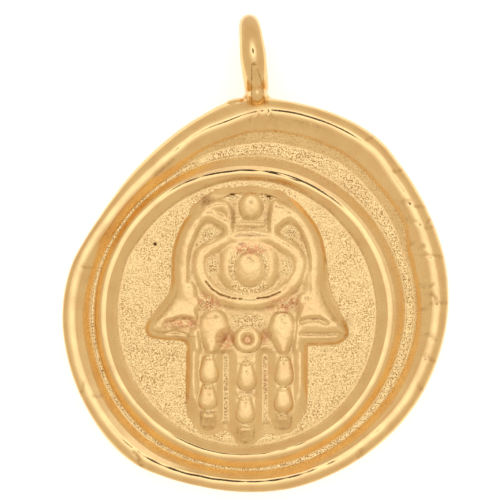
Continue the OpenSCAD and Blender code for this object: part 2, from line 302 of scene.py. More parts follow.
# Patches where the copper under the plating shines through pink
COPPER_MARKS = tuple(Mark(*row) for row in (
    # Eye, thumb and boss
    (-1, 64.5, 15, 6, 2.2), (-40, 12, 13, 8, 1.7), (36, 9, 16, 8, 1.8), (30, 5, 9, 6, 0.4),
    (-68, -9, 16, 6, 1.8), (-23.6, -25, 9, 9, 2.0), (15.5, -22.5, 5, 6, 1.6), (-2, -26.3, 5, 5, 1.8),
    (16, -62, 3, 22, 0.9), (-18, 40, 6, 16, 0.4), (-60, -84, 5, 8, 0.35),
    # Channel and rim
    (100, 130, 26, 30, 0.35), (112, 86, 14, 30, 0.3), (52, -160, 34, 14, 0.4), (80, -145, 26, 18, 0.35),
    (-118, 140, 18, 12, 0.2), (38, 122, 22, 8, 0.25), (176, 60, 14, 18, 0.25), (150, 108, 16, 22, 0.3),
    (-108, -128, 30, 18, 0.2), (60, 142, 22, 10, 0.3),
))
# Patches of brown: tarnish and stains, and painted shade on the fingertips, under the boss, at the tulips'
# ends and in the crown
BROWN_MARKS = tuple(Mark(*row) for row in (
    # Rim and channel
    (84, 146, 12, 8, 0.35), (46, 130, 12, 5, 0.25), (106, -146, 10, 10, 0.2), (113, -141, 9, 9, 0.5),
    (138, -110, 7, 7, 0.3), (-100, -157, 7, 7, 0.35),
    # Field, with one dark pinhole, and the foot of the palm
    (-94.5, 69.5, 1.4, 1.4, 6.0), (95, -76, 4, 7, 0.4), (-62, -84, 3.5, 4.5, 0.5), (-52, -88, 2, 6, 0.5),
    (77.5, 53.5, 5, 5, 0.7), (66, 60, 4, 7, 0.3), (-43.5, 112.5, 8, 6, 1.4), (70, 105, 12, 7, 0.3),
    # Thumbs
    (97, -10, 7, 12, 0.75), (98, -24, 4, 6, 0.9), (90, -14, 6, 6, 0.5), (84, -6, 5, 3, 0.8),
    (66, -5.5, 10, 1.7, 1.2), (73, -20.2, 15, 1.4, 1.0), (57, -29, 9, 4, 0.4), (52, -6, 4, 8, 0.5),
    (-66, -4.4, 13, 1.9, 1.0), (-66, -22.5, 15, 1.4, 1.0), (-66, -27, 9, 5, 0.5), (-52, -12, 4, 10, 0.5),
    # Crown and petals, with painted shade in the recess between the crown's bars and beside its bead
    (-40, 81, 10, 10, 0.6), (41, 80, 9, 10, 0.65), (0, 94, 22, 6, 0.75), (1, 85.2, 16, 2.2, 1.0),
    (2, 77.5, 17, 1.5, 0.9), (-10, 101, 2.6, 3, 1.2), (-16, 97, 6, 16, 1.1), (17, 97, 6, 16, 1.1),
    (-17, 119.1, 3.0, 1.1, 3.2), (19.2, 116.8, 3.0, 1.1, 3.2),
    # Eye, and below its lower lid
    (14, 64, 8, 3, 0.4), (-2, 62, 12, 6, 0.45), (24, 12, 5, 3, 0.4), (42, 10, 9, 7, 0.75),
    (38, 8, 10, 6, 0.55), (-47, 14, 7, 9, 0.4), (-42, 11, 9, 6, 0.5), (-30, 0, 12, 3, 0.35),
    (-37, -4, 12, 1.6, 0.8), (33, 1, 12, 1.8, 1.0), (0, -6, 18, 6, 0.4),
    # Boss and tulips, with painted shade at the tulips' lower ends and under the boss
    (-23.6, -27, 7, 7, 1.0), (15.6, -23, 4.5, 6, 1.0), (-2, -26.3, 3, 3, 0.9), (-10, -36, 10, 4, 0.2),
    (-46, -33, 6, 5, 0.35), (-30, -38, 10, 3, 0.9), (26, -38, 8, 3, 0.7), (-2, -38.6, 9, 1.6, 1.0),
    # Beads and fingertips, with painted shade on the fingertips' down-facing ends and in thin lines round
    # their bars and last beads
    (-43, -46, 4, 4, 0.45), (-3, -43, 9, 3.6, 0.9), (-3, -78.8, 9, 2.4, 0.9),
    (-41, -107, 9, 11, 0.62), (-4.5, -122, 9, 13, 0.62), (33, -107, 9, 10, 0.62),
    (-41, -98.4, 8, 1.3, 1.1), (-4, -109.6, 8, 1.3, 1.1), (34, -99.6, 8, 1.3, 1.1),
    (-48.5, -103, 1.6, 9, 1.1), (-12, -118, 1.3, 9, 1.0), (4.5, -118, 1.3, 9, 1.0), (41.5, -107, 1.3, 8, 1.0),
    (-42, -113, 6, 1.3, 1.1), (-3, -129, 6, 1.3, 1.0), (33, -114.6, 6, 1.3, 1.0),
))
# Patches of the polished metal that stayed dull
SATIN_MARKS = tuple(Mark(*row) for row in (
    (190, 20, 26, 40, 0.27), (186, 90, 26, 36, 0.27), (160, 130, 26, 26, 0.2), (180, -50, 26, 50, 0.26),
    (-186, 30, 22, 60, 0.2), (-176, -60, 26, 40, 0.2), (-120, 130, 40, 30, 0.18), (7, 214, 20, 14, 0.3),
    (8, 222, 12, 12, 0.4), (138, 10, 18, 70, 0.2), (-142, 10, 18, 70, 0.16),
))


def patch_strength(x: np.ndarray, y: np.ndarray, marks: tuple[Mark, ...], unit: float) -> np.ndarray:
    """Find the strongest patch at each place.

    Args:
        x: places along X in millimetres.
        y: places along Y in millimetres.
        marks: the patches.
        unit: millimetres in one share of the medallion's width.

    Returns:
        The strength there, 0 outside every patch.
    """
    total = np.zeros_like(x)
    for m in marks:
        away = ((x / unit - m.x) / m.radius_x) ** 2 + ((y / unit - m.y) / m.radius_y) ** 2
        total = np.maximum(total, m.strength * np.exp(-away))
    return total


@dataclass
class Surface:
    """A mesh in the coin's own frame, with its grain, copper, tarnish and painted shade."""

    points: np.ndarray
    faces: list[tuple[int, ...]]
    wear_and_shade: dict[WearAndShade, np.ndarray]


@dataclass(frozen=True)
class CoinSizes:
    """Sizes of the casting in millimetres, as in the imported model."""

    disc_w: float = 22.0
    rim_t: float = 2.2
    channel_depth: float = 0.65
    ring_rise: float = 0.5
    field_drop: float = 0.4
    back_round: float = 0.4
    hand_rise: float = 0.4
    loop_hole: float = 2.5
    loop_wire: float = 1.3
    loop_sink: float = 0.2
    loop_lean: float = 6.5

    @property
    def unit(self) -> float:
        """Millimetres in one share of the medallion's width."""
        return self.disc_w / SHARES

    @property
    def channel_z(self) -> float:
        """Height of the channel's floor."""
        return self.rim_t - self.channel_depth

    @property
    def ring_z(self) -> float:
        """Height of the ring's crest."""
        return self.channel_z + self.ring_rise

    @property
    def field_z(self) -> float:
        """Height of the field."""
        return self.ring_z - self.field_drop


class Section(NamedTuple):
    """Radii of the medallion at one angle, in shares of its width."""

    angle: float
    outline: float
    crest: float
    step: float
    step_half: float
    floor_out: float
    floor_in: float
    ring: float
    foot: float


SECTIONS = tuple(Section(*row) for row in (
    (0, 198.5, 186.2, 169.6, 2.2, 165.0, 156.0, 140.3, 126.7),
    (15, 203.0, 188.6, 170.4, 2.2, 165.4, 156.0, 139.7, 126.7),
    (22, 204.4, 189.9, 172.0, 2.2, 165.5, 156.0, 139.7, 127.0),
    (30, 206.2, 192.1, 179.6, 2.1, 168.3, 156.0, 139.6, 127.5),
    (45, 212.4, 198.5, 182.0, 2.0, 172.0, 156.0, 140.2, 128.0),
    (52, 217.0, 203.1, 184.2, 1.8, 174.0, 156.2, 140.6, 129.5),
    (60, 218.2, 204.4, 185.8, 1.6, 175.6, 156.5, 140.3, 129.8),
    (75, 216.6, 203.4, 185.0, 1.3, 173.0, 157.5, 141.2, 132.6),
    (84, 216.2, 202.5, 183.6, 1.3, 172.0, 157.7, 141.4, 133.2),
    (90, 216.6, 198.6, 181.6, 1.4, 170.0, 157.5, 141.6, 133.4),
    (96, 213.5, 192.7, 177.0, 1.4, 168.0, 157.0, 142.1, 133.8),
    (105, 203.0, 186.4, 171.2, 1.5, 165.0, 156.5, 142.6, 133.0),
    (120, 189.5, 173.9, 162.0, 3.0, 158.4, 154.8, 144.6, 132.2),
    (135, 180.8, 169.2, 161.0, 3.0, 157.2, 154.5, 145.0, 132.0),
    (146, 178.4, 168.9, 160.8, 3.0, 157.0, 154.0, 145.2, 132.0),
    (155, 180.2, 171.8, 161.4, 2.4, 157.0, 154.4, 145.2, 133.4),
    (165, 184.5, 175.8, 161.8, 1.8, 158.0, 155.0, 145.6, 132.0),
    (180, 187.0, 178.3, 163.6, 2.8, 158.6, 155.3, 145.6, 131.7),
    (195, 187.2, 178.9, 163.8, 3.0, 159.2, 156.0, 146.1, 132.0),
    (210, 188.2, 179.4, 165.4, 3.5, 160.2, 157.0, 146.4, 132.5),
    (225, 190.0, 180.0, 165.8, 3.4, 160.6, 157.3, 145.7, 133.0),
    (234, 188.8, 179.0, 165.0, 3.4, 160.2, 157.1, 145.2, 133.0),
    (243, 183.8, 175.7, 163.4, 3.3, 159.0, 156.5, 144.5, 133.2),
    (255, 179.5, 171.3, 161.2, 2.6, 158.0, 155.0, 143.9, 132.6),
    (270, 178.6, 169.8, 160.6, 2.4, 157.2, 154.6, 142.6, 131.8),
    (285, 180.0, 170.1, 160.8, 2.6, 158.4, 152.6, 141.3, 131.0),
    (300, 181.2, 171.5, 160.8, 3.0, 158.4, 152.0, 141.6, 130.0),
    (315, 184.5, 173.7, 161.8, 3.3, 159.0, 152.0, 141.3, 129.0),
    (330, 189.0, 178.3, 164.6, 3.4, 161.4, 152.4, 140.4, 128.0),
    (345, 193.5, 181.7, 167.6, 2.8, 163.4, 153.6, 139.8, 127.0),
))


class Crease(NamedTuple):
    """A shallow fold pressed across the rim: two ends, half width and depth in millimetres.

    The ends are given as angle in degrees and radius in shares of the medallion's width.
    """

    from_angle: float
    from_radius: float
    to_angle: float
    to_radius: float
    half_w: float
    depth: float
    darkening: float = 1.0


CREASES = tuple(Crease(*row) for row in (
    (3.0, 197, 3.5, 186, 0.10, 0.030), (4.0, 186, 1.2, 172, 0.11, 0.035),
    (4.5, 186, 9.5, 173, 0.12, 0.045), (16.0, 203, 17.5, 193, 0.10, 0.040),
    (17.5, 190, 19.5, 181, 0.10, 0.030), (21.0, 186, 23.5, 175, 0.12, 0.045),
    (25.2, 205, 25.8, 196, 0.09, 0.035), (31.0, 206, 33.0, 197, 0.09, 0.030),
    (34.5, 197, 36.5, 188, 0.13, 0.040), (42.6, 212, 44.4, 203, 0.10, 0.055),
    (164.5, 173, 163.5, 162, 0.08, 0.040), (206.0, 188, 203.0, 180, 0.10, 0.035),
    (236.0, 188, 230.5, 180, 0.12, 0.090), (208.0, 176, 209.5, 166, 0.10, 0.030),
    (306.0, 182, 309.0, 177, 0.12, 0.070), (345.5, 192, 346.5, 178, 0.11, 0.050),
    (336.0, 190, 337.0, 183, 0.10, 0.025), (55.0, 217, 56.0, 209, 0.10, 0.025),
    (116.0, 171, 124.0, 167, 0.07, 0.030), (352.0, 188, 353.5, 178, 0.12, 0.030),
    (52.0, 175, 56.0, 178, 0.14, 0.020), (28.0, 206, 27.0, 198, 0.10, -0.020),
    (82.0, 143.5, 70.0, 141.5, 0.06, 0.012, 0.6), (59.0, 198.6, 72.0, 199.4, 0.05, 0.020, 0.8),
    (72.0, 199.4, 85.0, 198.0, 0.05, 0.020, 0.8), (9.0, 186, 8.0, 176, 0.10, 0.030),
    (28.0, 192, 31.0, 182, 0.10, 0.025, 0.7), (91.0, 187, 104.0, 178, 0.05, 0.020, 0.8),
))
# Thin raised seams of solder that run down from the loop over the rim's inner slope
SOLDER_SEAMS = tuple(Crease(*row) for row in (
    (87.6, 199, 90.8, 184, 0.06, -0.055, 0.3), (84.9, 199, 82.0, 186, 0.06, -0.055, 0.3),
    (86.3, 205, 86.2, 190, 0.28, 0.060, 0.0), (88.6, 199, 91.8, 186, 0.04, 0.020, 0.9),
    (84.0, 199, 81.0, 188, 0.04, 0.020, 0.9), (84.6, 204, 83.6, 199, 0.05, 0.020, 1.0),
))


@dataclass
class Medallion:
    """The cast disc: uneven rim, stepped channel, ring, blasted field and plain back."""

    sizes: CoinSizes
    # Stretches of the outline, in degrees, and the spacing of the mesh's columns there
    columns: tuple[tuple[float, float, float], ...] = (
        (0, 50, 0.36), (50, 81, 0.75), (81, 94, 0.26), (94, 142.4, 0.8), (142.4, 145, 0.2),
        (145, 200, 0.8), (200, 240, 0.5), (240, 360, 0.8))
    corner_steps: int = 7
    # Half widths of the rounded crests of rim and ring, and the radius of their backs
    rim_half_in: float = 0.28
    rim_half_out: float = 0.20
    ring_half_w: float = 0.15
    # How much lower the ring stands towards the loop, and shallower the channel runs at the bottom
    ring_dip: float = 0.09
    channel_lift: float = 0.12
    dip_angle: float = 93.0
    dip_spread: float = 24.0
    lift_angle: float = 278.0
    lift_spread: float = 44.0
    crest_r: float = 0.9
    crest_steps: int = 7
    # The creases' table is drawn at this share of its depth, with this much soil in it
    fold_depth: float = 0.55
    fold_soil: float = 0.75
    # Slope of the step in the channel's wall, and how steep the wall is above and below it
    step_slope: float = 1.12
    upper_weight: float = 1.0
    lower_weight: float = 0.7
    floor_rings: int = 4
    field_rings: int = 16
    # Rings of the mesh set close together where the field's dark pinhole lies
    pinhole_share: float = 0.8787
    pinhole_step: float = 0.0035
    # Painted shade in the corner between the ring and the field: strength, place and width
    foot_shade: float = 0.85
    foot_out: float = 0.07
    foot_w: float = 0.10
    edge_steps: int = 12
    # Heights over which unevenness and soil set in, so that the back and the edge stay clean
    uneven_from: Stretch = (0.6, 1.2)
    soil_from: Stretch = (1.3, 1.8)
    # The hand-pressed unevenness: height and longest wave in millimetres, and a seed
    waves: tuple[tuple[float, float, int], ...] = ((0.016, 5.0, 3), (0.006, 1.6, 4))
    # Soil spreads this much wider than the fold that holds it
    soil_spread: float = 1.3

    def column_angles(self) -> np.ndarray:
        """Space the mesh's columns closely where the rim is creased."""
        stretches = [np.linspace(a, b, round((b - a) / step), endpoint=False) for a, b, step in self.columns]
        return np.concatenate(stretches)

    def table(self, angles: np.ndarray) -> dict[str, np.ndarray]:
        """Read the sections' table at every angle.

        Args:
            angles: the angles in degrees.

        Returns:
            Radii in millimetres, and the shares of the ring's dip and the channel's lift.
        """
        rows = np.array([s[1:] for s in SECTIONS]) * self.sizes.unit
        values = periodic_curve(np.array([s.angle for s in SECTIONS]), rows, angles)
        found = dict(zip(Section._fields[1:], values.T))
        found["dip"] = np.exp(-((angles - self.dip_angle) / self.dip_spread) ** 2)
        found["lift"] = np.exp(-((angles - self.lift_angle) / self.lift_spread) ** 2)
        return found

    def corners(self, t: dict[str, np.ndarray]) -> list[tuple[np.ndarray, float, float, float]]:
        """List the section's corners from the middle of the field round to the back's middle.

        Args:
            t: the radii at every angle in millimetres.

        Returns:
            For each corner its radii, height, rounding radius and share of grain.
        """
        s = self.sizes
        step_out, step_in = t["step"] + t["step_half"], t["step"] - t["step_half"]
        rim_in = np.minimum(self.rim_half_in, t["crest"] - step_out - 0.03)
        low_z = s.channel_z + self.channel_lift * t["lift"]
        sag = rim_in ** 2 / (2 * self.crest_r)
        crest_in = t["crest"] - rim_in
        wall_drop = 2 * t["step_half"] * self.step_slope
        upper = (crest_in - step_out) * self.upper_weight
        lower = (step_in - t["floor_out"]) * self.lower_weight
        rest = s.rim_t - low_z - sag - wall_drop
        step_top = s.rim_t - sag - rest * upper / (upper + lower)
        ring_in, ring_out = t["ring"] - self.ring_half_w, t["ring"] + self.ring_half_w
        ring_top = s.ring_z - self.ring_dip * t["dip"]
        ring_low = ring_top - self.ring_half_w ** 2 / (2 * self.crest_r)
        outer = t["floor_in"] - ring_out
        slope = ring_in - t["foot"]
        close = self.pinhole_share + self.pinhole_step * np.arange(-3, 4)
        shares = np.sort(np.append(np.linspace(0, 0.97, self.field_rings), close))
        flat = [(t["foot"] * share, s.field_z, 0.0, 0.9) for share in shares]
        floor = [
            (t["floor_in"] + (t["floor_out"] - t["floor_in"]) * share, low_z, 0.0, 1.0)
            for share in np.linspace(0, 1, self.floor_rings + 2)[1:-1]
        ]
        return [
            *flat,
            (t["foot"], s.field_z, 0.16, 0.6),
            (t["foot"] + 0.36 * slope, s.field_z + 0.3 * s.field_drop, 0.12, 0.2),
            *self.crest(t["ring"], self.ring_half_w, self.ring_half_w, ring_top),
            (ring_out + 0.26 * outer, ring_low - 0.06, 0.12, 0.35),
            (ring_out + 0.88 * outer, low_z + 0.045, 0.08, 0.6),
            (t["floor_in"], low_z, 0.12, 0.6),
            *floor,
            (t["floor_out"], low_z, 0.16, 0.6),
            (step_in, step_top - wall_drop, 0.12, 0.68),
            (step_out, step_top, 0.12, 0.45),
            *self.crest(t["crest"], rim_in, self.rim_half_out, s.rim_t),
            *self.edge(t),
            (t["outline"], 0.0, s.back_round / math.tan(math.pi / 8) * 0.42, 0.0),
            (t["outline"] * 0.8, 0.0, 0.0, 0.3),
            (t["outline"] * 0.4, 0.0, 0.0, 0.3),
            (t["outline"] * 0.0, 0.0, 0.0, 0.3),
        ]

    def edge(self, t: dict[str, np.ndarray]) -> list[tuple[np.ndarray, np.ndarray, float, float]]:
        """Round the edge from the rim's crest down to the outline.

        Args:
            t: the radii at every angle in millimetres.

        Returns:
            Corners in the same form as the whole section's.
        """
        start = math.asin(self.rim_half_out / self.crest_r)
        edge_top = self.sizes.rim_t - self.rim_half_out ** 2 / (2 * self.crest_r)
        edge_r = (t["outline"] - t["crest"] - self.rim_half_out) / (1 - math.sin(start))
        return [
            (t["outline"] - edge_r * (1 - math.sin(a)),
             edge_top - edge_r * (math.cos(start) - math.cos(a)), 0, 0)
            for a in np.linspace(start, math.pi / 2, self.edge_steps)[1:]
        ]

    def crest(self, middle: np.ndarray, half_in: np.ndarray | float, half_out: float,
              top: np.ndarray | float) -> list[tuple[np.ndarray, np.ndarray, float, float]]:
        """List the corners of a crest with a round back.

        Args:
            middle: the crest's radii.
            half_in: its half width towards the middle of the coin.
            half_out: its half width towards the outline.
            top: its height.

        Returns:
            Corners in the same form as the whole section's.
        """
        found = []
        for share in np.linspace(-1, 1, self.crest_steps):
            away = share * (half_in if share < 0 else half_out) * np.ones_like(middle)
            radius = 0.12 if abs(share) == 1 else 0.0
            found.append((middle + away, top - away ** 2 / (2 * self.crest_r), radius, 0.0))
        return found

    def surface(self) -> Surface:
        """Build the closed disc.

        Returns:
            The disc with its grain, copper, tarnish and painted shade.
        """
        angles = self.column_angles()
        columns = len(angles)
        t = self.table(angles)
        corners = self.corners(t)
        line = np.array([np.stack([r, np.broadcast_to(z, r.shape)], -1) for r, z, _, _ in corners])
        rounded = rounded_line(line, np.array([c[2] for c in corners]), self.corner_steps)
        grain = [corners[0][3]]
        for corner in corners[1:-1]:
            grain.extend([corner[3]] * self.corner_steps)
        grain = np.array(grain + [corners[-1][3]])
        keep = [0]
        for i in range(1, len(rounded)):
            if np.abs(rounded[i] - rounded[keep[-1]]).max() > 1e-6:
                keep.append(i)
        rounded, grain = rounded[keep], grain[keep]
        turn = np.radians(angles)
        x = rounded[..., 0] * np.cos(turn)
        y = rounded[..., 0] * np.sin(turn)
        z = self.roughen(x, y, rounded[..., 1])
        rows = len(rounded) - 2
        body = np.stack([x, y, z], -1)[1:-1].reshape(-1, 3)
        tip = np.array([[0, 0, rounded[0, 0, 1]], [0, 0, 0]])
        points = np.concatenate([body, tip])
        grid = np.arange(rows * columns).reshape(rows, columns)
        beside = np.roll(grid, -1, axis=1)
        faces = np.stack([grid[:-1], grid[1:], beside[1:], beside[:-1]], -1).reshape(-1, 4).tolist()
        top, bottom = rows * columns, rows * columns + 1
        faces += [[top, a, b] for a, b in zip(grid[0], beside[0])]
        faces += [[bottom, b, a] for a, b in zip(grid[-1], beside[-1])]
        spread = np.append(np.repeat(grain[1:-1], columns), [grain[0], grain[-1]])
        wear_and_shade = dress(points, spread, self.sizes.unit)
        radius, height = rounded[1:-1, :, 0], rounded[1:-1, :, 1]
        # Painted shade in the corner at the ring's foot, up to twice as strong at the top as on the lower
        # half
        at_foot = np.exp(-((radius - t["foot"] - self.foot_out) / self.foot_w) ** 2) * (height > 1)
        at_foot = at_foot * self.foot_shade * (0.5 + 0.5 * np.maximum(np.sin(turn), 0))
        wear_and_shade[WearAndShade.BROWN][:-2] = np.maximum(wear_and_shade[WearAndShade.BROWN][:-2], at_foot.ravel())
        on_face = fade(points[:, 2], *self.soil_from)
        for c, fold in self.folds(points[:, 0], points[:, 1], self.soil_spread):
            wear_and_shade[WearAndShade.BROWN] = np.maximum(wear_and_shade[WearAndShade.BROWN], self.fold_soil * c.darkening * fold * on_face)
        return Surface(points, faces, wear_and_shade)

    def roughen(self, x: np.ndarray, y: np.ndarray, z: np.ndarray) -> np.ndarray:
        """Add the hand-pressed unevenness, the folds across the rim and the solder's seams.

        Args:
            x: places along X in millimetres.
            y: places along Y in millimetres.
            z: smooth heights in millimetres.

        Returns:
            The uneven heights.
        """
        lift = sum(height * ripple(x, y, wave, seed) for height, wave, seed in self.waves)
        for c, fold in self.folds(x, y, 1.0):
            lift = lift - (self.fold_depth if c.depth > 0 else 1.0) * c.depth * fold
        return z + fade(z, *self.uneven_from) * lift

    def folds(self, x: np.ndarray, y: np.ndarray, widen: float) -> list[tuple[Crease, np.ndarray]]:
        """Find how much of every fold and seam reaches each place.

        Args:
            x: places along X in millimetres.
            y: places along Y in millimetres.
            widen: how many times wider than its own width each is taken.

        Returns:
            Each fold with its share, 1 on its line and 0 far from it.
        """
        unit, found = self.sizes.unit, []
        for c in CREASES + SOLDER_SEAMS:
            ends = [
                (r * unit * math.cos(math.radians(a)), r * unit * math.sin(math.radians(a)), c.half_w * widen)
                for a, r in ((c.from_angle, c.from_radius), (c.to_angle, c.to_radius))
            ]
            q = line_share(x, y, np.array(ends))
            found.append((c, np.exp(-q * q)))
        return found


def dress(points: np.ndarray, grain: np.ndarray, unit: float) -> dict[WearAndShade, np.ndarray]:
    """Work out the grain, the copper and the brown, which holds tarnish and painted shade, at each point of a
    surface.

    Args:
        points: the surface's points in millimetres.
        grain: the share of blasted grain that its form gives it.
        unit: millimetres in one share of the medallion's width.

    Returns:
        One value a point for each of these kinds.
    """
    x, y = points[:, 0], points[:, 1]
    return {
        WearAndShade.GRAIN: np.maximum(grain, patch_strength(x, y, SATIN_MARKS, unit)),
        WearAndShade.COPPER: patch_strength(x, y, COPPER_MARKS, unit),
        WearAndShade.BROWN: patch_strength(x, y, BROWN_MARKS, unit),
    }


class Ridge(NamedTuple):
    """A raised rounded line: its rows of x, y and half width, and its rise in millimetres."""

    rows: tuple[tuple[float, float, float], ...]
    rise: float


class Dome(NamedTuple):
    """A raised or sunk rounded spot: middle, half widths and rise in millimetres."""

    x: float
    y: float
    half_x: float
    half_y: float
    rise: float


class Bead(NamedTuple):
    """A barrel bead on a finger: middle line, upper and lower end, half width."""

    x: float
    upper: float
    lower: float
    half_w: float
    rise_share: float = 1.0


RIGHT_THUMB = (
    (57.2, -31.6), (80, -31.8), (90, -30.5), (96.5, -25.5), (99.5, -17.7),
    (96, -8.1), (87.2, 5.2), (79.8, 18.5), (76.0, 33.4),
)
LEFT_THUMB = (
    (-77.8, 25.3), (-84.6, 13.6), (-94.5, 1.8), (-102, -8.1), (-104.4, -15.5),
    (-100.5, -23.5), (-88, -26.4), (-66, -27.2), (-62.3, -31.6),
)
# The arch over the palm: middle, radius and the angles of its corners
ARCH = (-0.5, 50.4)
ARCH_R = 77.0
ARCH_TURNS = np.radians(np.arange(0, 181, 5))
# Where the palm's form and its hollow run on under the fingers
PALM_FOOT = ((-62.2, -33), (-62.2, -70), (57.4, -70), (57.4, -33))
POCKET_FOOT = ((-61.5, 14), (-53, 3), (-50, -20), (-49, -60), (44, -60), (45, -20), (49, 3), (61, 14))
# The three fingers' section: place across, and height above the field in millimetres
FINGER_SECTION = (
    (-64.4, -0.06), (-63.7, 0.0), (-57.2, 0.38), (-55.8, 0.382), (-49.5, 0.22), (-47.8, 0.22),
    (-40.5, 0.31), (-33.0, 0.295), (-24.8, 0.075), (-22.6, 0.075), (-12.5, 0.295), (-3.3, 0.32),
    (5.6, 0.295), (14.6, 0.075), (16.6, 0.075), (26.4, 0.295), (35.0, 0.31), (42.2, 0.22),
    (43.8, 0.22), (50.2, 0.382), (51.6, 0.38), (58.3, 0.0), (59.0, -0.06),
)
# Where the fingers end: place across and along
FINGER_ENDS = (
    (-64, -92), (-60, -103), (-55, -112), (-48, -119), (-38, -122), (-27, -118), (-22, -118),
    (-17, -123), (-13, -131), (-9, -135), (1, -135), (5, -131), (10, -123), (15, -118), (20, -117),
    (30, -120), (42, -118), (50, -110), (55, -101), (59, -90),
)
# Rise from a finger's end: length in shares, and height in millimetres
FINGER_END_RISE = ((-3, -0.03), (0, 0.0), (8, 0.085), (16, 0.18), (26, 0.30), (36, 0.37))
BEADS = (
    Bead(-40.4, -41.5, -70.0, 9.3), Bead(-41.4, -70.6, -95.4, 9.4), Bead(-41.2, -96.0, -116.0, 7.2, 0.45),
    Bead(-2.8, -47.5, -77.2, 9.5), Bead(-4.2, -82.0, -109.4, 9.6), Bead(-4.0, -110.0, -128.0, 8.2, 0.4),
    Bead(34.4, -42.5, -71.8, 9.3), Bead(33.8, -72.6, -98.4, 9.3), Bead(32.6, -99.0, -116.0, 8.2, 0.45),
)
# Cross bars on the fingertips below the last beads
TIP_BARS = (
    Ridge(((-46, -102.6, 3.4), (-37, -102.6, 3.4)), 0.07),
    Ridge(((-10, -117, 3.2), (2, -117, 3.2)), 0.045), Ridge(((27, -106.0, 4.2), (38, -106.0, 4.2)), 0.07),
    Ridge(((-10.5, -79.4, 3.0), (4, -79.4, 3.0)), 0.06),
)
TULIPS = (
    Ridge(((-35, -8.5, 13.0), (-36, -13, 15.6), (-36.4, -20, 13.0), (-37.4, -28, 9.0),
           (-38, -36, 5.0)), 0.21),
    Ridge(((33, -8.5, 11.4), (33.2, -14, 13.4), (33.4, -20, 11.8), (33.4, -28, 8.4),
           (33.6, -36, 5.0)), 0.21),
)
PETALS = (
    Ridge(((-46, 98, 5.0), (-36, 97.4, 6.0), (-28, 94.0, 6.2), (-21, 88.0, 5.4), (-19.0, 78, 4.4)), 0.18),
    Ridge(((-42, 105, 5.4), (-34, 108.0, 6.2), (-26, 107.8, 6.0), (-21.0, 102, 5.2), (-19.6, 93, 4.6)), 0.18),
    Ridge(((25.6, 110, 4.6), (23.4, 98, 4.6), (22.8, 87, 4.4), (23.5, 79, 4.4)), 0.18),
)
# Two narrow bars under the crown's bead
CROWN_BARS = (
    Ridge(((-12.5, 88.8, 3.9), (0, 89.2, 3.9), (13.5, 88.6, 3.9)), 0.13),
    Ridge(((-12, 81.2, 3.9), (0, 81.4, 3.9), (20, 80.0, 3.9)), 0.14),
)
# The right petal's broad pale lobe
LOBE = (
    (25, 112), (36, 111), (44, 104), (52, 95), (50, 90.5), (43, 93), (35.5, 90.5), (30.5, 86), (24, 82),
    (21.5, 97),
)
CROWN_FLOOR = ((-33, 118), (33, 118), (24, 100), (20, 78), (-18, 78), (-20, 100))
DOMES = (
    Dome(1.6, 107.0, 11.8, 13.6, 0.23), Dome(-54.8, 10.5, 6.2, 8.0, 0.17), Dome(55.5, 12.5, 8.6, 9.0, 0.19),
    Dome(-60.5, 18.5, 7.8, 15.0, 0.19),
)
SIDE_BARS = (
    Ridge(((60.5, 40, 5.0), (60.8, 24, 6.6), (61.5, 8, 7.6)), 0.14),
)
# Grooves cut along the thumbs
GROOVES = (
    Ridge(((-74, -6.5, 2.6), (-66, -4.2, 3.2), (-58, -6.0, 3.2), (-53, -13, 2.6)), 0.08),
    Ridge(((-98, -17.5, 1.8), (-88, -20.6, 2.2), (-74, -18.6, 2.2), (-62, -21.6, 2.0)), 0.09),
    Ridge(((51, -8.5, 2.6), (60, -5.6, 3.4), (70, -5.8, 3.4), (77, -9.5, 2.6)), 0.11),
    Ridge(((51, -20.4, 2.2), (70, -20.6, 2.2), (88, -20.0, 2.2), (95, -24, 2.0)), 0.08),
)
# Where the hollow palm kept its blasted grain
GRAIN_SPOTS = tuple(Mark(*row) for row in (
    (-1, -8, 19, 8, 1.6), (-17, 118, 11, 6, 1.4), (19, 117, 11, 6, 1.4), (-41, 78, 9, 11, 1.3),
    (42, 79, 9, 11, 1.3), (-37, 48, 9, 13, 1.2), (37, 46, 9, 13, 1.2), (0, 20, 17, 6, 1.5),
    (0, 66, 17, 5, 1.3), (-59, 38, 7, 18, 0.7), (62, 34, 8, 26, 1.0), (-42, 9, 14, 9, 1.2),
    (38, 9, 14, 9, 1.2), (2, 95, 12, 5, 0.7), (-16, 44, 5, 16, 0.7), (14, 30, 6, 8, 0.6),
))
# Pits that were punched beside the crown's bead, in the side corners and beside the boss
PITS = (
    Dome(-23.6, -25.2, 11.0, 10.0, 0.12), Dome(15.6, -22.6, 6.6, 7.6, 0.10),
    Dome(-27.0, 102.5, 5.6, 6.4, 0.035), Dome(-1.0, -6.0, 18, 6.5, 0.05),
)
SIDE_PITS = (
    ((-51, 92), (-39, 94), (-30.5, 87), (-26, 82), (-26, 76), (-37, 70.5), (-49, 67.5), (-53, 76)),
    ((36, 90.5), (46.5, 90), (51.5, 82), (52, 70), (45.5, 71), (32, 76), (28, 80), (31, 86)),
)
THUMB_HOLLOW = ((-86, -6), (-60, -5.0), (-53.5, -10), (-57, -18), (-80, -18.5), (-87, -13))
# How the thumbs' tops fall towards the fingers: place along, and drop in millimetres
THUMB_FALL = ((-30, 0.11), (-27, 0.10), (-21.6, 0.02), (-20.4, 0.09), (-12, 0.0), (-4, 0.0))
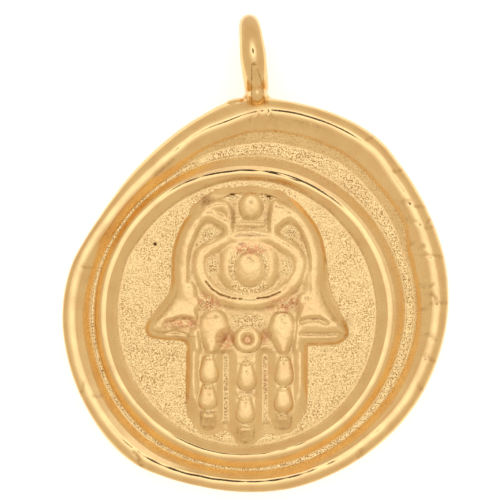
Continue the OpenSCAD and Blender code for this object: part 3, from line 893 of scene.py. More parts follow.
# The eye: middle of the iris, the pupil, and the line of both lids
IRIS = (-0.8, 46.8)
PUPIL = Dome(0.3, 43.8, 15.0, 18.0, 0.195)
LID = (
    (-50.2, 50), (-48.8, 40.5), (-44.8, 31.5), (-38.5, 23.8), (-30, 18), (-20.8, 14.4), (-10, 12.4),
    (0, 12.0), (12, 12.6), (23, 15.8), (32, 20.8), (40.5, 27.6), (46.2, 35.5), (49.4, 43), (50.2, 50.5),
    (46.5, 59.5), (38, 66.6), (29, 72.6), (22, 75.6), (0, 76.0), (-20, 75.8), (-29, 72.2),
    (-38.6, 66.4), (-47.4, 59.4),
)
# Middle of the ringed boss under the eye
BOSS = (-2.0, -25.8)
# Fine dark lines along the inner edge of the lower lid, each over a shallow groove: ends across and along
LID_DARK_LINES = (
    ((-43.5, 32.0), (-37.5, 24.6)), ((-37.5, 24.6), (-29.5, 19.2)), ((-29.5, 19.2), (-19.5, 16.2)),
    ((-17.5, 15.6), (-13.5, 15.2)), ((-10.5, 14.9), (-7.5, 14.8)), ((7.5, 15.4), (18.5, 16.6)),
    ((18.5, 16.6), (30.5, 21.6)),
)


@dataclass
class HandRelief:
    """The raised hand: palm, thumbs, fingers, eye, crown and beads, as one height field.

    Sizes are in millimetres. The widths and radii of the lids, the iris and the boss are in
    shares, as all places are.
    """

    sizes: CoinSizes
    # The height field's left, right, lower and upper edges, in shares
    reach: tuple[float, float, float, float] = (-107, 103, -140, 131)
    # The cast's unevenness: height and longest wave in millimetres, and a seed
    waves: tuple[tuple[float, float, int], ...] = ((0.006, 1.0, 11), (0.010, 2.6, 12), (0.0022, 0.4, 13))
    pitch: float = 0.040
    # The palm's edge: distance in from its outline, and height above the field
    wall: tuple[tuple[float, float], ...] = (
        (-0.16, -0.08), (-0.05, -0.02), (0.02, 0.03), (0.13, 0.155), (0.25, 0.255), (0.38, 0.33),
        (0.50, 0.375), (0.62, 0.397), (0.74, 0.405), (3, 0.405))
    # The same round the crown, where the wall ends on the hollow's floor without a border
    crown_wall: tuple[tuple[float, float], ...] = (
        (-0.16, -0.08), (-0.05, -0.02), (0.03, 0.02), (0.20, 0.11), (0.38, 0.205), (0.50, 0.24), (3, 0.24))
    # How much gentler the wall is beside the thumbs
    thumb_slack: float = 0.36
    # The hollow palm: width of the wall and the border round it, depth and slope
    wall_w: float = 0.56
    border_w: float = 0.38
    pocket_drop: float = 0.16
    pocket_slope: float = 0.24
    # How far the hollow reaches up into the crown, in shares, over which part of the arch, in
    # radians, and how much the floor rises there
    crown_reach: float = 6.5
    crown_turn: float = 0.36
    crown_lift: float = 0.02
    # Stretches up and across, in shares, over which one form passes into the next
    finger_join: Stretch = (-42, -34)
    thumb_top: Stretch = (34, 12)
    thumb_low: Stretch = (-12, 0)
    thumb_side: Stretch = (52, 58)
    crown_side: Stretch = (50, 32)
    crown_low: Stretch = (97, 110)
    gap_end: Stretch = (-114, -106)
    gap_side: Stretch = (6, 4)
    # Stretches in millimetres: in from the outline, and up from the field and the hollow's floor
    thumb_in: Stretch = (0.3, 0.6)
    gap_clean: Stretch = (0.085, 0.135)
    floor_clean: Stretch = (0.05, 0.12)
    # Middles of the thumbs' pair and of the gaps between the fingers, in shares
    thumbs_middle: float = -2.5
    gap_middles: tuple[float, float] = (-23.7, 15.6)
    # Slope of the hollows' sides, and the width of the palm's edge that stays polished
    hollow_slope: float = 0.40
    edge_w: float = 0.36
    thumb_hollow: float = 0.13
    side_pit: float = 0.07
    pit_slope: float = 0.36
    # The lobe's round side starts this far under the floor
    lobe_under: float = 0.3
    lobe_rise: float = 0.17
    lobe_slope: float = 0.6
    lid_half: float = 9.4
    lid_rise: float = 0.17
    iris_r: float = 19.4
    iris_inside: float = 6.0
    iris_outside: float = 14.5
    iris_rise: float = 0.21
    # How much of the iris ring's height is left below and above the pupil, over how many shares
    # it grows, and how much is left inside the ring
    iris_low: float = 0.45
    iris_high: float = 0.85
    iris_grows: float = 8.0
    iris_floor: float = 0.9
    # Height of the pupil's foot, and the slope of its top
    pupil_base: float = 0.085
    pupil_lean: float = 0.045
    bead_rise: float = 0.17
    # Along a bead, from -1 at its lower end to 1: how much narrower and lower it gets, and where
    bead_taper: float = 0.31
    bead_tapers: Stretch = (-0.35, 0.75)
    bead_fall: float = 0.25
    bead_falls: Stretch = (-0.2, 1.0)
    # How blunt its two ends are, and how full its section is along it
    bead_top: float = 6.0
    bead_bottom: float = 3.4
    bead_power: tuple[tuple[float, float], ...] = ((-1, 0.44), (-0.2, 0.40), (0.6, 0.3), (1, 0.3))
    # The greatest height above the field that a bead is set on, and its lift above the fingertips
    seat_rise: float = 0.27
    seat_lift: float = 0.06
    seat_end: Stretch = (-108, -96)
    boss_rise: float = 0.15
    boss_r: float = 8.8
    boss_half: float = 5.4
    # Fillet where forms cross, and the smaller ones round the ornaments, as shares of it
    fillet: float = 0.05
    iris_fillet: float = 0.6
    soft_fillet: float = 0.7
    bar_fillet: float = 0.3
    pupil_fillet: float = 0.5
    crisp_fillet: float = 0.4
    # How far the ornaments' feet start under the floor
    iris_sink: float = 0.02
    soft_sink: float = 0.01
    crisp_sink: float = 0.005
    # How full the ornaments' tops are: the smaller the power, the flatter the top
    tulip_power: float = 0.4
    dome_power: float = 0.42
    pupil_power: float = 0.5
    tip_bar_power: float = 0.9
    boss_power: float = 0.85
    # Petals run out this share as quickly as other rolls, and the crown's bars have flat tops
    petal_pace: float = 0.75
    bar_slope: float = 1.15
    bar_top: float = 0.78
    # How much casting and polishing softened broad and fine forms
    broad_blur: float = 0.052
    fine_blur: float = 0.026
    # Dulled polish all over the hand
    satin: float = 0.3
    # Grain round the pupil reaches this far from the iris's middle, and further at the bottom
    eye_grain: float = 23.0
    eye_droop: float = 8.0
    eye_low: Stretch = (34, 26)
    eye_fade: float = 5.0
    pupil_edge: Stretch = (0.94, 1.06)
    grain_level: float = 0.95
    # Grain above a bead: half width as a share of the bead's, place and half height in shares
    bead_grain_w: float = 0.9
    bead_grain_down: float = 1.5
    bead_grain_half: float = 3.6
    # Dirt left in the hollow palm, less where its grain stayed, and painted shade in the gaps between the
    # fingers, in the corners, round the beads and round the pupil
    pocket_soil: float = 0.66
    pocket_wash: float = 0.45
    gap_shade: float = 0.45
    cavity_blur: float = 0.09
    cavity_shade: float = 0.60
    cavity_depth: Stretch = (0.007, 0.037)
    cavity_end: Stretch = (-107, -101)
    pupil_shade: float = 0.9
    bead_shade: float = 0.9
    # The lines of painted shade round the foot of the pupil and of a bead: place and width as shares of the
    # way out
    pupil_line: float = 0.96
    pupil_line_w: float = 0.05
    bead_line: float = 1.03
    bead_line_w: float = 0.08
    # How much of a bead's line of painted shade is left at its upper end, and where along the bead it grows,
    # so that it is darkest at the lower end
    bead_line_least: float = 0.35
    bead_line_grows: Stretch = (-0.2, -0.7)
    # The fine dark lines along the lower lid's inner edge, each over a shallow groove
    line_half: float = 0.75
    line_groove_depth: float = 0.05
    line_darkness: float = 2.6
    # How far the sheet runs out past the hand, under the field
    skirt: float = 0.14

    def arch(self, radius: np.ndarray | float) -> np.ndarray:
        """List the arch's corners from its right end over the top, in shares."""
        return np.stack([ARCH[0] + radius * np.cos(ARCH_TURNS), ARCH[1] + radius * np.sin(ARCH_TURNS)], -1)

    def silhouette(self) -> np.ndarray:
        """Outline the whole hand, in millimetres."""
        corners = (RIGHT_THUMB, self.arch(ARCH_R), LEFT_THUMB, FINGER_ENDS[1:-1])
        return np.concatenate(corners) * self.sizes.unit

    def palm_outline(self) -> np.ndarray:
        """Join the thumbs to the arch over the palm, open towards the fingers, in millimetres."""
        corners = (RIGHT_THUMB, self.arch(ARCH_R), LEFT_THUMB, PALM_FOOT)
        return round_outline(np.concatenate(corners), 2) * self.sizes.unit

    def pocket_outline(self) -> np.ndarray:
        """Outline the hollow palm inside its border.

        Returns:
            The corners in millimetres.
        """
        bulge = self.crown_reach * np.exp(-((ARCH_TURNS - math.pi / 2) / self.crown_turn) ** 2)
        arch = self.arch(ARCH_R - (self.wall_w + self.border_w) / self.sizes.unit + bulge)
        return round_outline(np.concatenate((arch, POCKET_FOOT)), 2) * self.sizes.unit

    def inside(self, x: np.ndarray, y: np.ndarray, corners: tuple, slope: float) -> np.ndarray:
        """Give 1 inside an outline and 0 outside it, with a slope this many millimetres wide."""
        depth = outline_depth(x, y, round_outline(np.array(corners), 2) * self.sizes.unit)
        return soft_step(depth / slope + 0.5)

    def blurred(self, z: np.ndarray, radius: float) -> np.ndarray:
        """Soften a height field, as casting and polishing do.

        Args:
            z: the heights.
            radius: how far they are softened, in millimetres.

        Returns:
            The softened heights.
        """
        reach = math.ceil(2.5 * radius / self.pitch)
        steps = np.arange(-reach, reach + 1)
        weights = np.exp(-0.5 * (steps * self.pitch / radius) ** 2)
        weights /= weights.sum()
        for axis in (0, 1):
            pad = [(reach, reach) if a == axis else (0, 0) for a in (0, 1)]
            wide = np.pad(z, pad, mode="edge")
            length = z.shape[axis]
            z = sum(w * np.take(wide, np.arange(i, i + length), axis=axis) for i, w in enumerate(weights))
        return z

    def finger_body(self, u: np.ndarray, v: np.ndarray) -> np.ndarray:
        """Shape the fingers without their beads: roofs with grooves between and sloped ends.

        Args:
            u: places across in shares.
            v: places up in shares.

        Returns:
            Heights above the field in millimetres.
        """
        across = np.interp(u, *zip(*FINGER_SECTION))
        from_end = v - np.interp(u, *zip(*FINGER_ENDS))
        along = np.interp(from_end, *zip(*FINGER_END_RISE))
        return -smooth_max(-across, -along, self.fillet)

    def palm_body(self, x: np.ndarray, y: np.ndarray, depth: np.ndarray) -> tuple[np.ndarray, np.ndarray]:
        """Shape the palm and the thumbs before their ornaments, hollow inside their border.

        Args:
            x: places along X in millimetres.
            y: places along Y in millimetres.
            depth: how far each place lies inside the palm's outline.

        Returns:
            Heights above the back, and 1 where the palm is hollow.
        """
        field_z, u, v = self.sizes.field_z, x / self.sizes.unit, y / self.sizes.unit
        at_thumb = fade(v, *self.thumb_top) * fade(v, *self.thumb_low)
        palm = field_z + np.interp(depth * (1 - self.thumb_slack * at_thumb), *zip(*self.wall))
        sunk = soft_step(outline_depth(x, y, self.pocket_outline()) / self.pocket_slope + 0.5)
        palm = palm - self.pocket_drop * sunk
        at_crown = fade(np.abs(u), *self.crown_side) * fade(v, *self.crown_low)
        crown = field_z + np.interp(depth, *zip(*self.crown_wall))
        palm = palm + (crown - palm) * at_crown
        palm = palm + self.crown_lift * self.inside(x, y, CROWN_FLOOR, self.hollow_slope)
        palm = palm - self.thumb_hollow * self.inside(x, y, THUMB_HOLLOW, self.hollow_slope)
        on_thumb = fade(np.abs(u - self.thumbs_middle), *self.thumb_side) * fade(depth, *self.thumb_in)
        palm = palm - np.interp(v, *zip(*THUMB_FALL)) * on_thumb
        return palm, np.maximum(sunk, at_crown)

    def heights(self, x: np.ndarray, y: np.ndarray) -> tuple[np.ndarray, np.ndarray, np.ndarray]:
        """Work out the relief's height over the coin.

        Args:
            x: places along X in millimetres.
            y: places along Y in millimetres.

        Returns:
            Heights above the back, the share of grain, and the darkening: dirt in the hollow palm, painted
            shade in the gaps, corners and round the beads and the pupil, and the lid's dark lines.
        """
        field_z, u, v = self.sizes.field_z, x / self.sizes.unit, y / self.sizes.unit
        floor_z = field_z + self.sizes.hand_rise - self.pocket_drop
        depth = outline_depth(x, y, self.palm_outline())
        palm, sunk = self.palm_body(x, y, depth)
        on_palm = fade(v, *self.finger_join)
        z = palm * on_palm + (field_z + self.finger_body(u, v)) * (1 - on_palm)
        z = self.blurred(self.add_broad(x, y, z, floor_z), self.broad_blur)
        beside_gap = np.minimum(*(np.abs(u - middle) for middle in self.gap_middles))
        in_gap = (1 - on_palm) * (1 - fade(z - field_z, *self.gap_clean))
        in_gap = in_gap * fade(v, *self.gap_end) * fade(beside_gap, *self.gap_side)
        z = self.blurred(self.add_fine(u, v, z, floor_z, field_z + self.seat_rise), self.fine_blur)
        low = (depth > self.edge_w) * on_palm * (1 - fade(z - floor_z, *self.floor_clean))
        spots = np.minimum(patch_strength(u, v, GRAIN_SPOTS, 1.0), 1.0)
        grain = self.add_grain(u, v, sunk * low * spots)
        # Dirt over the hollow palm's floor, and painted shade in the gaps between the fingers
        darkening = np.maximum(self.pocket_soil * low * (1 - self.pocket_wash * spots), self.gap_shade * in_gap)
        darkening = self.add_painted_shade(u, v, z, darkening)
        # Fine dark lines along the lower lid's inner edge: a shallow groove, painted near black
        for ends in LID_DARK_LINES:
            q = line_share(u, v, np.array([(*end, self.line_half) for end in ends]))
            dark_line = np.exp(-q * q)
            z = z - self.line_groove_depth * dark_line
            darkening = np.maximum(darkening, self.line_darkness * dark_line)
        return z, np.clip(np.maximum(grain + in_gap, self.satin), 0, 1), darkening

    def add_grain(self, u: np.ndarray, v: np.ndarray, grain: np.ndarray) -> np.ndarray:
        """Add the blasted grain round the pupil and above each bead.

        Args:
            u: places across in shares.
            v: places up in shares.
            grain: the share of grain so far.

        Returns:
            The share of grain with these.
        """
        away, pupil = np.hypot(u - IRIS[0], v - IRIS[1]), self.dome_share(u, v, PUPIL)
        reach = self.eye_grain + self.eye_droop * fade(v, *self.eye_low)
        round_pupil = fade(pupil, *self.pupil_edge) * fade(reach - away, 0, self.eye_fade)
        grain = np.maximum(grain, self.grain_level * round_pupil)
        for b in BEADS:
            across = (u - b.x) / (b.half_w * self.bead_grain_w)
            along = (v - b.upper + self.bead_grain_down) / self.bead_grain_half
            away = across ** 2 + along ** 2
            grain = np.maximum(grain, self.grain_level * np.exp(-away * away))
        return grain

    def add_painted_shade(self, u: np.ndarray, v: np.ndarray, z: np.ndarray, darkening: np.ndarray) -> np.ndarray:
        """Add painted shade in the corners, in a line round the pupil's foot and in a line round each bead's
        foot, darkest at the bead's lower end.

        Args:
            u: places across in shares.
            v: places up in shares.
            z: heights in millimetres.
            darkening: the darkening so far.

        Returns:
            The darkening with this painted shade.
        """
        # Painted shade: darker wherever the surface lies below its own softened form, and in lines round the
        # feet of the pupil and the beads
        hollow = fade(self.blurred(z, self.cavity_blur) - z, *self.cavity_depth)
        darkening = np.maximum(darkening, self.cavity_shade * hollow * fade(v, *self.cavity_end))
        line = np.exp(-((self.dome_share(u, v, PUPIL) - self.pupil_line) / self.pupil_line_w) ** 2)
        darkening = np.maximum(darkening, self.pupil_shade * line)
        least = self.bead_line_least
        for b in BEADS:
            t, q = self.bead_place(u, v, b)
            line = np.exp(-((q - self.bead_line) / self.bead_line_w) ** 2)
            line = line * (least + (1 - least) * fade(t, *self.bead_line_grows))
            darkening = np.maximum(darkening, self.bead_shade * line)
        return darkening

    def add_broad(self, x: np.ndarray, y: np.ndarray, z: np.ndarray, floor_z: float) -> np.ndarray:
        """Raise the eye, the crown and the petals, then sink the grooves and the pits.

        Args:
            x: places along X in millimetres.
            y: places along Y in millimetres.
            z: heights of the bare hand.
            floor_z: height of the hollow palm's floor.

        Returns:
            The new heights.
        """
        u, v, blend = x / self.sizes.unit, y / self.sizes.unit, self.fillet
        away = np.hypot(u - IRIS[0], v - IRIS[1])
        outside = away > self.iris_r
        form = roll_form(np.abs(away - self.iris_r) / np.where(outside, self.iris_outside, self.iris_inside))
        form = np.where(outside, form, np.maximum(form, self.iris_floor))
        low = self.iris_low + (self.iris_high - self.iris_low) * fade(v - IRIS[1], 0, self.iris_grows)
        hold = low + (1 - low) * ((u - IRIS[0]) / np.maximum(away, 1.0)) ** 2
        z = smooth_max(z, floor_z - self.iris_sink + self.iris_rise * hold * form, blend * self.iris_fillet)
        q = line_share(u, v, np.array([(a, b, self.lid_half) for a, b in LID + LID[:1]]))
        z = smooth_max(z, floor_z - self.soft_sink + self.lid_rise * roll_form(q), blend * self.soft_fillet)
        for ridge in PETALS + SIDE_BARS:
            q = line_share(u, v, np.array(ridge.rows)) * self.petal_pace
            z = smooth_max(z, floor_z - self.soft_sink + ridge.rise * roll_form(q), blend)
        for ridge in CROWN_BARS:
            q = line_share(u, v, np.array(ridge.rows))
            bar = ridge.rise * self.bar_slope * np.minimum(1 - q, self.bar_top)
            z = smooth_max(z, floor_z - self.crisp_sink + bar, blend * self.bar_fillet)
        for ridge in TULIPS:
            q = line_share(u, v, np.array(ridge.rows))
            z = smooth_max(z, floor_z + ridge.rise * crown_form(q, self.tulip_power), blend)
        lobe = (self.lobe_under + self.lobe_rise) * np.sqrt(self.inside(x, y, LOBE, self.lobe_slope))
        nowhere = -9.0
        z = smooth_max(z, np.where(lobe > 0.01, floor_z - self.lobe_under + lobe, nowhere), blend)
        for d in DOMES:
            form = crown_form(self.dome_share(u, v, d), self.dome_power)
            z = smooth_max(z, floor_z + d.rise * form, blend * self.soft_fillet)
        for groove in GROOVES:
            q = line_share(u, v, np.array(groove.rows))
            z = z - groove.rise * np.maximum(1 - q * q, 0)
        for corners in SIDE_PITS:
            z = z - self.side_pit * self.inside(x, y, corners, self.pit_slope)
        for p in PITS:
            z = z - p.rise * np.maximum(1 - self.dome_share(u, v, p) ** 2, 0)
        return z

    def add_fine(self, u: np.ndarray, v: np.ndarray, z: np.ndarray, floor_z: float,
                 finger_z: float) -> np.ndarray:
        """Raise what has crisp edges: the pupil, the beads, the bars and the boss.

        Args:
            u: places across in shares.
            v: places up in shares.
            z: heights so far.
            floor_z: height of the hollow palm's floor.
            finger_z: the greatest height that the beads are set on.

        Returns:
            The new heights.
        """
        blend = self.fillet
        rise = self.pupil_base + PUPIL.rise * crown_form(self.dome_share(u, v, PUPIL), self.pupil_power)
        rise = rise + self.pupil_lean * (v - PUPIL.y) * self.sizes.unit
        z = smooth_max(z, floor_z + rise, blend * self.pupil_fillet)
        seat = np.minimum(finger_z, z + self.seat_lift * fade(v, *self.seat_end))
        for b in BEADS:
            z = smooth_max(z, self.bead_height(u, v, b, seat), blend * self.crisp_fillet)
        for ridge in TIP_BARS:
            q = line_share(u, v, np.array(ridge.rows))
            bar = ridge.rise * crown_form(q, self.tip_bar_power)
            z = smooth_max(z, np.minimum(finger_z, z) + bar, blend * self.crisp_fillet)
        ring = np.abs(np.hypot(u - BOSS[0], v - BOSS[1]) - self.boss_r) / self.boss_half
        boss = self.boss_rise * crown_form(ring, self.boss_power)
        return smooth_max(z, floor_z + boss, blend * self.crisp_fillet)

    @staticmethod
    def dome_share(u: np.ndarray, v: np.ndarray, dome: Dome) -> np.ndarray:
        """Share of the way from a dome's middle out to its foot."""
        return np.hypot((u - dome.x) / dome.half_x, (v - dome.y) / dome.half_y)

    def bead_place(self, u: np.ndarray, v: np.ndarray, bead: Bead) -> tuple[np.ndarray, np.ndarray]:
        """Find where each place lies on a bead.

        Args:
            u: places across in shares.
            v: places up in shares.
            bead: the bead.

        Returns:
            The place along it, from -1 at its lower end to 1, and the share of the way out to its edge.
        """
        middle, half_l = (bead.upper + bead.lower) / 2, (bead.upper - bead.lower) / 2
        t = (v - middle) / half_l
        width = bead.half_w * (1 - self.bead_taper * fade(t, *self.bead_tapers))
        across = np.abs(u - bead.x) / width
        end = np.where(t > 0, np.abs(t) ** self.bead_top, np.abs(t) ** self.bead_bottom)
        return t, np.sqrt(across ** 2 + end)

    def bead_height(self, u: np.ndarray, v: np.ndarray, bead: Bead, base: np.ndarray) -> np.ndarray:
        """Shape one bead: full and round at its lower end, narrower and lower at its upper end.

        Args:
            u: places across in shares.
            v: places up in shares.
            bead: the bead.
            base: heights of what it sits on.

        Returns:
            Heights of its skin.
        """
        t, q = self.bead_place(u, v, bead)
        rise = bead.rise_share * self.bead_rise * (1 - self.bead_fall * fade(t, *self.bead_falls))
        return base - self.crisp_sink + rise * crown_form(q, np.interp(t, *zip(*self.bead_power)))

    def surface(self) -> Surface:
        """Build the height field out to a skirt under the field, and close it underneath.

        Returns:
            The hand with its grain, copper, tarnish and painted shade.
        """
        unit, pitch = self.sizes.unit, self.pitch
        left, right, lower, upper = (edge * unit for edge in self.reach)
        x, y = np.meshgrid(np.arange(left, right, pitch), np.arange(lower, upper, pitch))
        z, grain, darkening = self.heights(x, y)
        for height, wave, seed in self.waves:
            z = z + height * ripple(x, y, wave, seed)
        high = outline_depth(x, y, self.silhouette()) > -self.skirt
        cells = high[:-1, :-1] | high[1:, :-1] | high[:-1, 1:] | high[1:, 1:]
        used = np.zeros(z.shape, bool)
        for rows in (slice(0, -1), slice(1, None)):
            for columns in (slice(0, -1), slice(1, None)):
                used[rows, columns] |= cells
        number = np.full(z.shape, -1)
        number[used] = np.arange(used.sum())
        points = np.stack([x[used], y[used], z[used]], -1)
        corners = [number[:-1, :-1], number[:-1, 1:], number[1:, 1:], number[1:, :-1]]
        wear_and_shade = dress(points, grain[used], unit)
        wear_and_shade[WearAndShade.BROWN] = np.maximum(wear_and_shade[WearAndShade.BROWN], darkening[used])
        sheet = Surface(points, np.stack(corners, -1)[cells].tolist(), wear_and_shade)
        return close_below(sheet, self.sizes.field_z - 0.25)


def close_below(sheet: Surface, floor_z: float) -> Surface:
    """Close an open sheet with a skirt and a flat bottom.

    Args:
        sheet: a sheet of quads whose open edges lie out of sight.
        floor_z: height of the bottom in millimetres.

    Returns:
        The closed surface.
    """
    edges: dict[tuple[int, int], int] = {}
    for face in sheet.faces:
        for a, b in zip(face, face[1:] + face[:1]):
            if (b, a) in edges:
                del edges[(b, a)]
            else:
                edges[(a, b)] = 1
    follows = {a: b for a, b in edges}
    count = len(sheet.points)
    new_points, faces = [], list(sheet.faces)
    lowered: dict[int, int] = {}
    for a in follows:
        lowered[a] = count + len(new_points)
        new_points.append((sheet.points[a][0], sheet.points[a][1], floor_z))
    for a, b in follows.items():
        faces.append([b, a, lowered[a], lowered[b]])
    left = dict(follows)
    while left:
        start = next(iter(left))
        loop, at = [], start
        while at in left:
            loop.append(at)
            at = left.pop(at)
        faces.append([lowered[a] for a in reversed(loop)])
    points = np.concatenate([sheet.points, np.array(new_points)])
    wear_and_shade = {
        kind: np.concatenate([values, np.zeros(len(new_points))])
        for kind, values in sheet.wear_and_shade.items()
    }
    return Surface(points, faces, wear_and_shade)


class Lump(NamedTuple):
    """A lump of solder: place across and up in shares, height in millimetres, and half widths."""

    x: float
    y: float
    z_mm: float
    half_x: float
    half_y: float
    half_z_mm: float


SOLDER = tuple(Lump(*row) for row in (
    (6.5, 211, 1.15, 12.5, 7.5, 0.75), (-10.0, 209.5, 1.2, 15.0, 6.5, 0.62),
    (20.5, 210.0, 1.2, 13.0, 6.0, 0.62), (7.0, 206, 1.45, 7.0, 9.0, 0.62), (7.6, 220, 1.85, 9.6, 12.0, 0.82),
    (3, 216, 1.1, 10.0, 6.0, 0.5), (11, 216, 1.1, 10.0, 6.0, 0.5),
))
# Painted dark lines on the wire, standing for the edges of the reflections that run down it: ends across and
# up, in shares
LOOP_REFLECTION_LINES = (
    ((2.2, 246.5), (2.0, 226)), ((2.0, 226), (2.2, 206.5)), ((7.8, 242), (12.6, 228)),
    ((12.6, 228), (16.2, 205.5)), ((1.6, 246.5), (5.6, 248.6)), ((3.4, 246.0), (6.6, 246.6)),
)


@dataclass
class HangingLoop:
    """The wire loop that is soldered to the rim's edge, with solder round its foot."""

    sizes: CoinSizes
    outline_top: float
    turns: int = 120
    sides: int = 48
    middle_x: float = 0.2
    # The wire's thickness at the loop's outer end, its crown and its foot, as shares
    thickness: tuple[float, float, float] = (0.97, 1.16, 1.08)
    # Taken off the radius of the wire's hole in the scene
    hole_trim: float = 0.05
    voxel: float = 0.05
    smoothing: int = 8
    # Half width and darkness of the painted reflection lines
    line_half: float = 0.035
    line_darkness: float = 1.5
    # The painted reflection lines show above this share of the rim's thickness
    reflection_lines_from: float = 0.75

    @property
    def ring_r(self) -> float:
        """Radius of the wire's middle line."""
        return self.sizes.loop_hole / 2 - self.hole_trim + self.sizes.loop_wire / 2

    @property
    def middle_y(self) -> float:
        """How far the loop's middle stands from the coin's middle."""
        return self.outline_top + self.ring_r + self.sizes.loop_wire / 2 - self.sizes.loop_sink

    def wire(self) -> tuple[np.ndarray, list[list[int]]]:
        """Build the wire ring, upright across the rim and leaning to the left.

        Returns:
            Its points in millimetres, and its faces.
        """
        s = self.sizes
        around = np.linspace(0, 2 * math.pi, self.turns, endpoint=False)[:, None]
        across = np.linspace(0, 2 * math.pi, self.sides, endpoint=False)[None, :]
        share = np.interp(np.cos(around), (-1, 0, 1), self.thickness[::-1])
        half = s.loop_wire / 2
        r = self.ring_r + half - half * share * (1 - np.cos(across))
        local_x = half * share * np.sin(across)
        local_y, local_z = r * np.cos(around), r * np.sin(around)
        lean = math.radians(s.loop_lean)
        x = self.middle_x + local_x * math.cos(lean) - local_y * math.sin(lean)
        y = self.middle_y + local_x * math.sin(lean) + local_y * math.cos(lean)
        points = np.stack(np.broadcast_arrays(x, y, s.rim_t / 2 + local_z), -1).reshape(-1, 3)
        grid = np.arange(self.turns * self.sides).reshape(self.turns, self.sides)
        after = np.roll(grid, -1, 0)
        faces = np.stack([grid, np.roll(grid, -1, 1), np.roll(after, -1, 1), after], -1)
        return points, faces.reshape(-1, 4).tolist()

    def surface(self) -> Surface:
        """Melt the wire and the solder into one skin, and paint on it the dark lines that stand for the edges
        of the wire's reflections.

        Returns:
            The loop with its grain and its painted reflection lines.
        """
        unit = self.sizes.unit
        points, faces = self.wire()
        melt = bmesh.new()
        for lump in SOLDER:
            ball = bmesh.ops.create_uvsphere(melt, u_segments=32, v_segments=20, radius=1.0)
            for vert in ball["verts"]:
                across, up, out = vert.co
                vert.co = Vector((
                    (lump.x + across * lump.half_x) * unit, (lump.y + up * lump.half_y) * unit,
                    lump.z_mm + out * lump.half_z_mm,
                ))
        verts = [melt.verts.new(p) for p in points]
        for face in faces:
            melt.faces.new([verts[i] for i in face])
        bmesh.ops.recalc_face_normals(melt, faces=melt.faces)
        mesh = bpy.data.meshes.new("loop_melt")
        melt.to_mesh(mesh)
        melt.free()
        skin = bpy.data.objects.new("loop_melt", mesh)
        bpy.context.scene.collection.objects.link(skin)
        remesh = skin.modifiers.new("melt", "REMESH")
        remesh.mode, remesh.voxel_size = "VOXEL", self.voxel
        relax = skin.modifiers.new("relax", "SMOOTH")
        relax.factor, relax.iterations = 0.5, self.smoothing
        done = skin.evaluated_get(bpy.context.evaluated_depsgraph_get()).to_mesh()
        points = np.array([tuple(v.co) for v in done.vertices])
        faces = [list(f.vertices) for f in done.polygons]
        bpy.data.objects.remove(skin)
        bpy.data.meshes.remove(mesh)
        wear_and_shade = dress(points, np.zeros(len(points)), unit)
        # Paint dark lines on the wire's upper part, standing for the edges of the reflections that run down
        # it
        upper = points[:, 2] > self.sizes.rim_t * self.reflection_lines_from
        for dark_line in LOOP_REFLECTION_LINES:
            ends = [(x * unit, y * unit, self.line_half) for x, y in dark_line]
            q = line_share(points[:, 0], points[:, 1], np.array(ends))
            wear_and_shade[WearAndShade.BROWN] = np.maximum(wear_and_shade[WearAndShade.BROWN], upper * self.line_darkness * np.exp(-q * q))
        return Surface(points, faces, wear_and_shade)


class Blotches(NamedTuple):
    """A noise by its name, the size of its blotches in millimetres, its detail and its roughness."""

    name: str
    size_mm: float
    detail: float
    roughness: float


class Layer(NamedTuple):
    """A colour on the metal, and the values that its mask is multiplied from.

    Each value is given by its name and the two levels of it that are stretched to 0 and 1.
    """

    colour: str
    parts: tuple[tuple[str, float, float], ...]


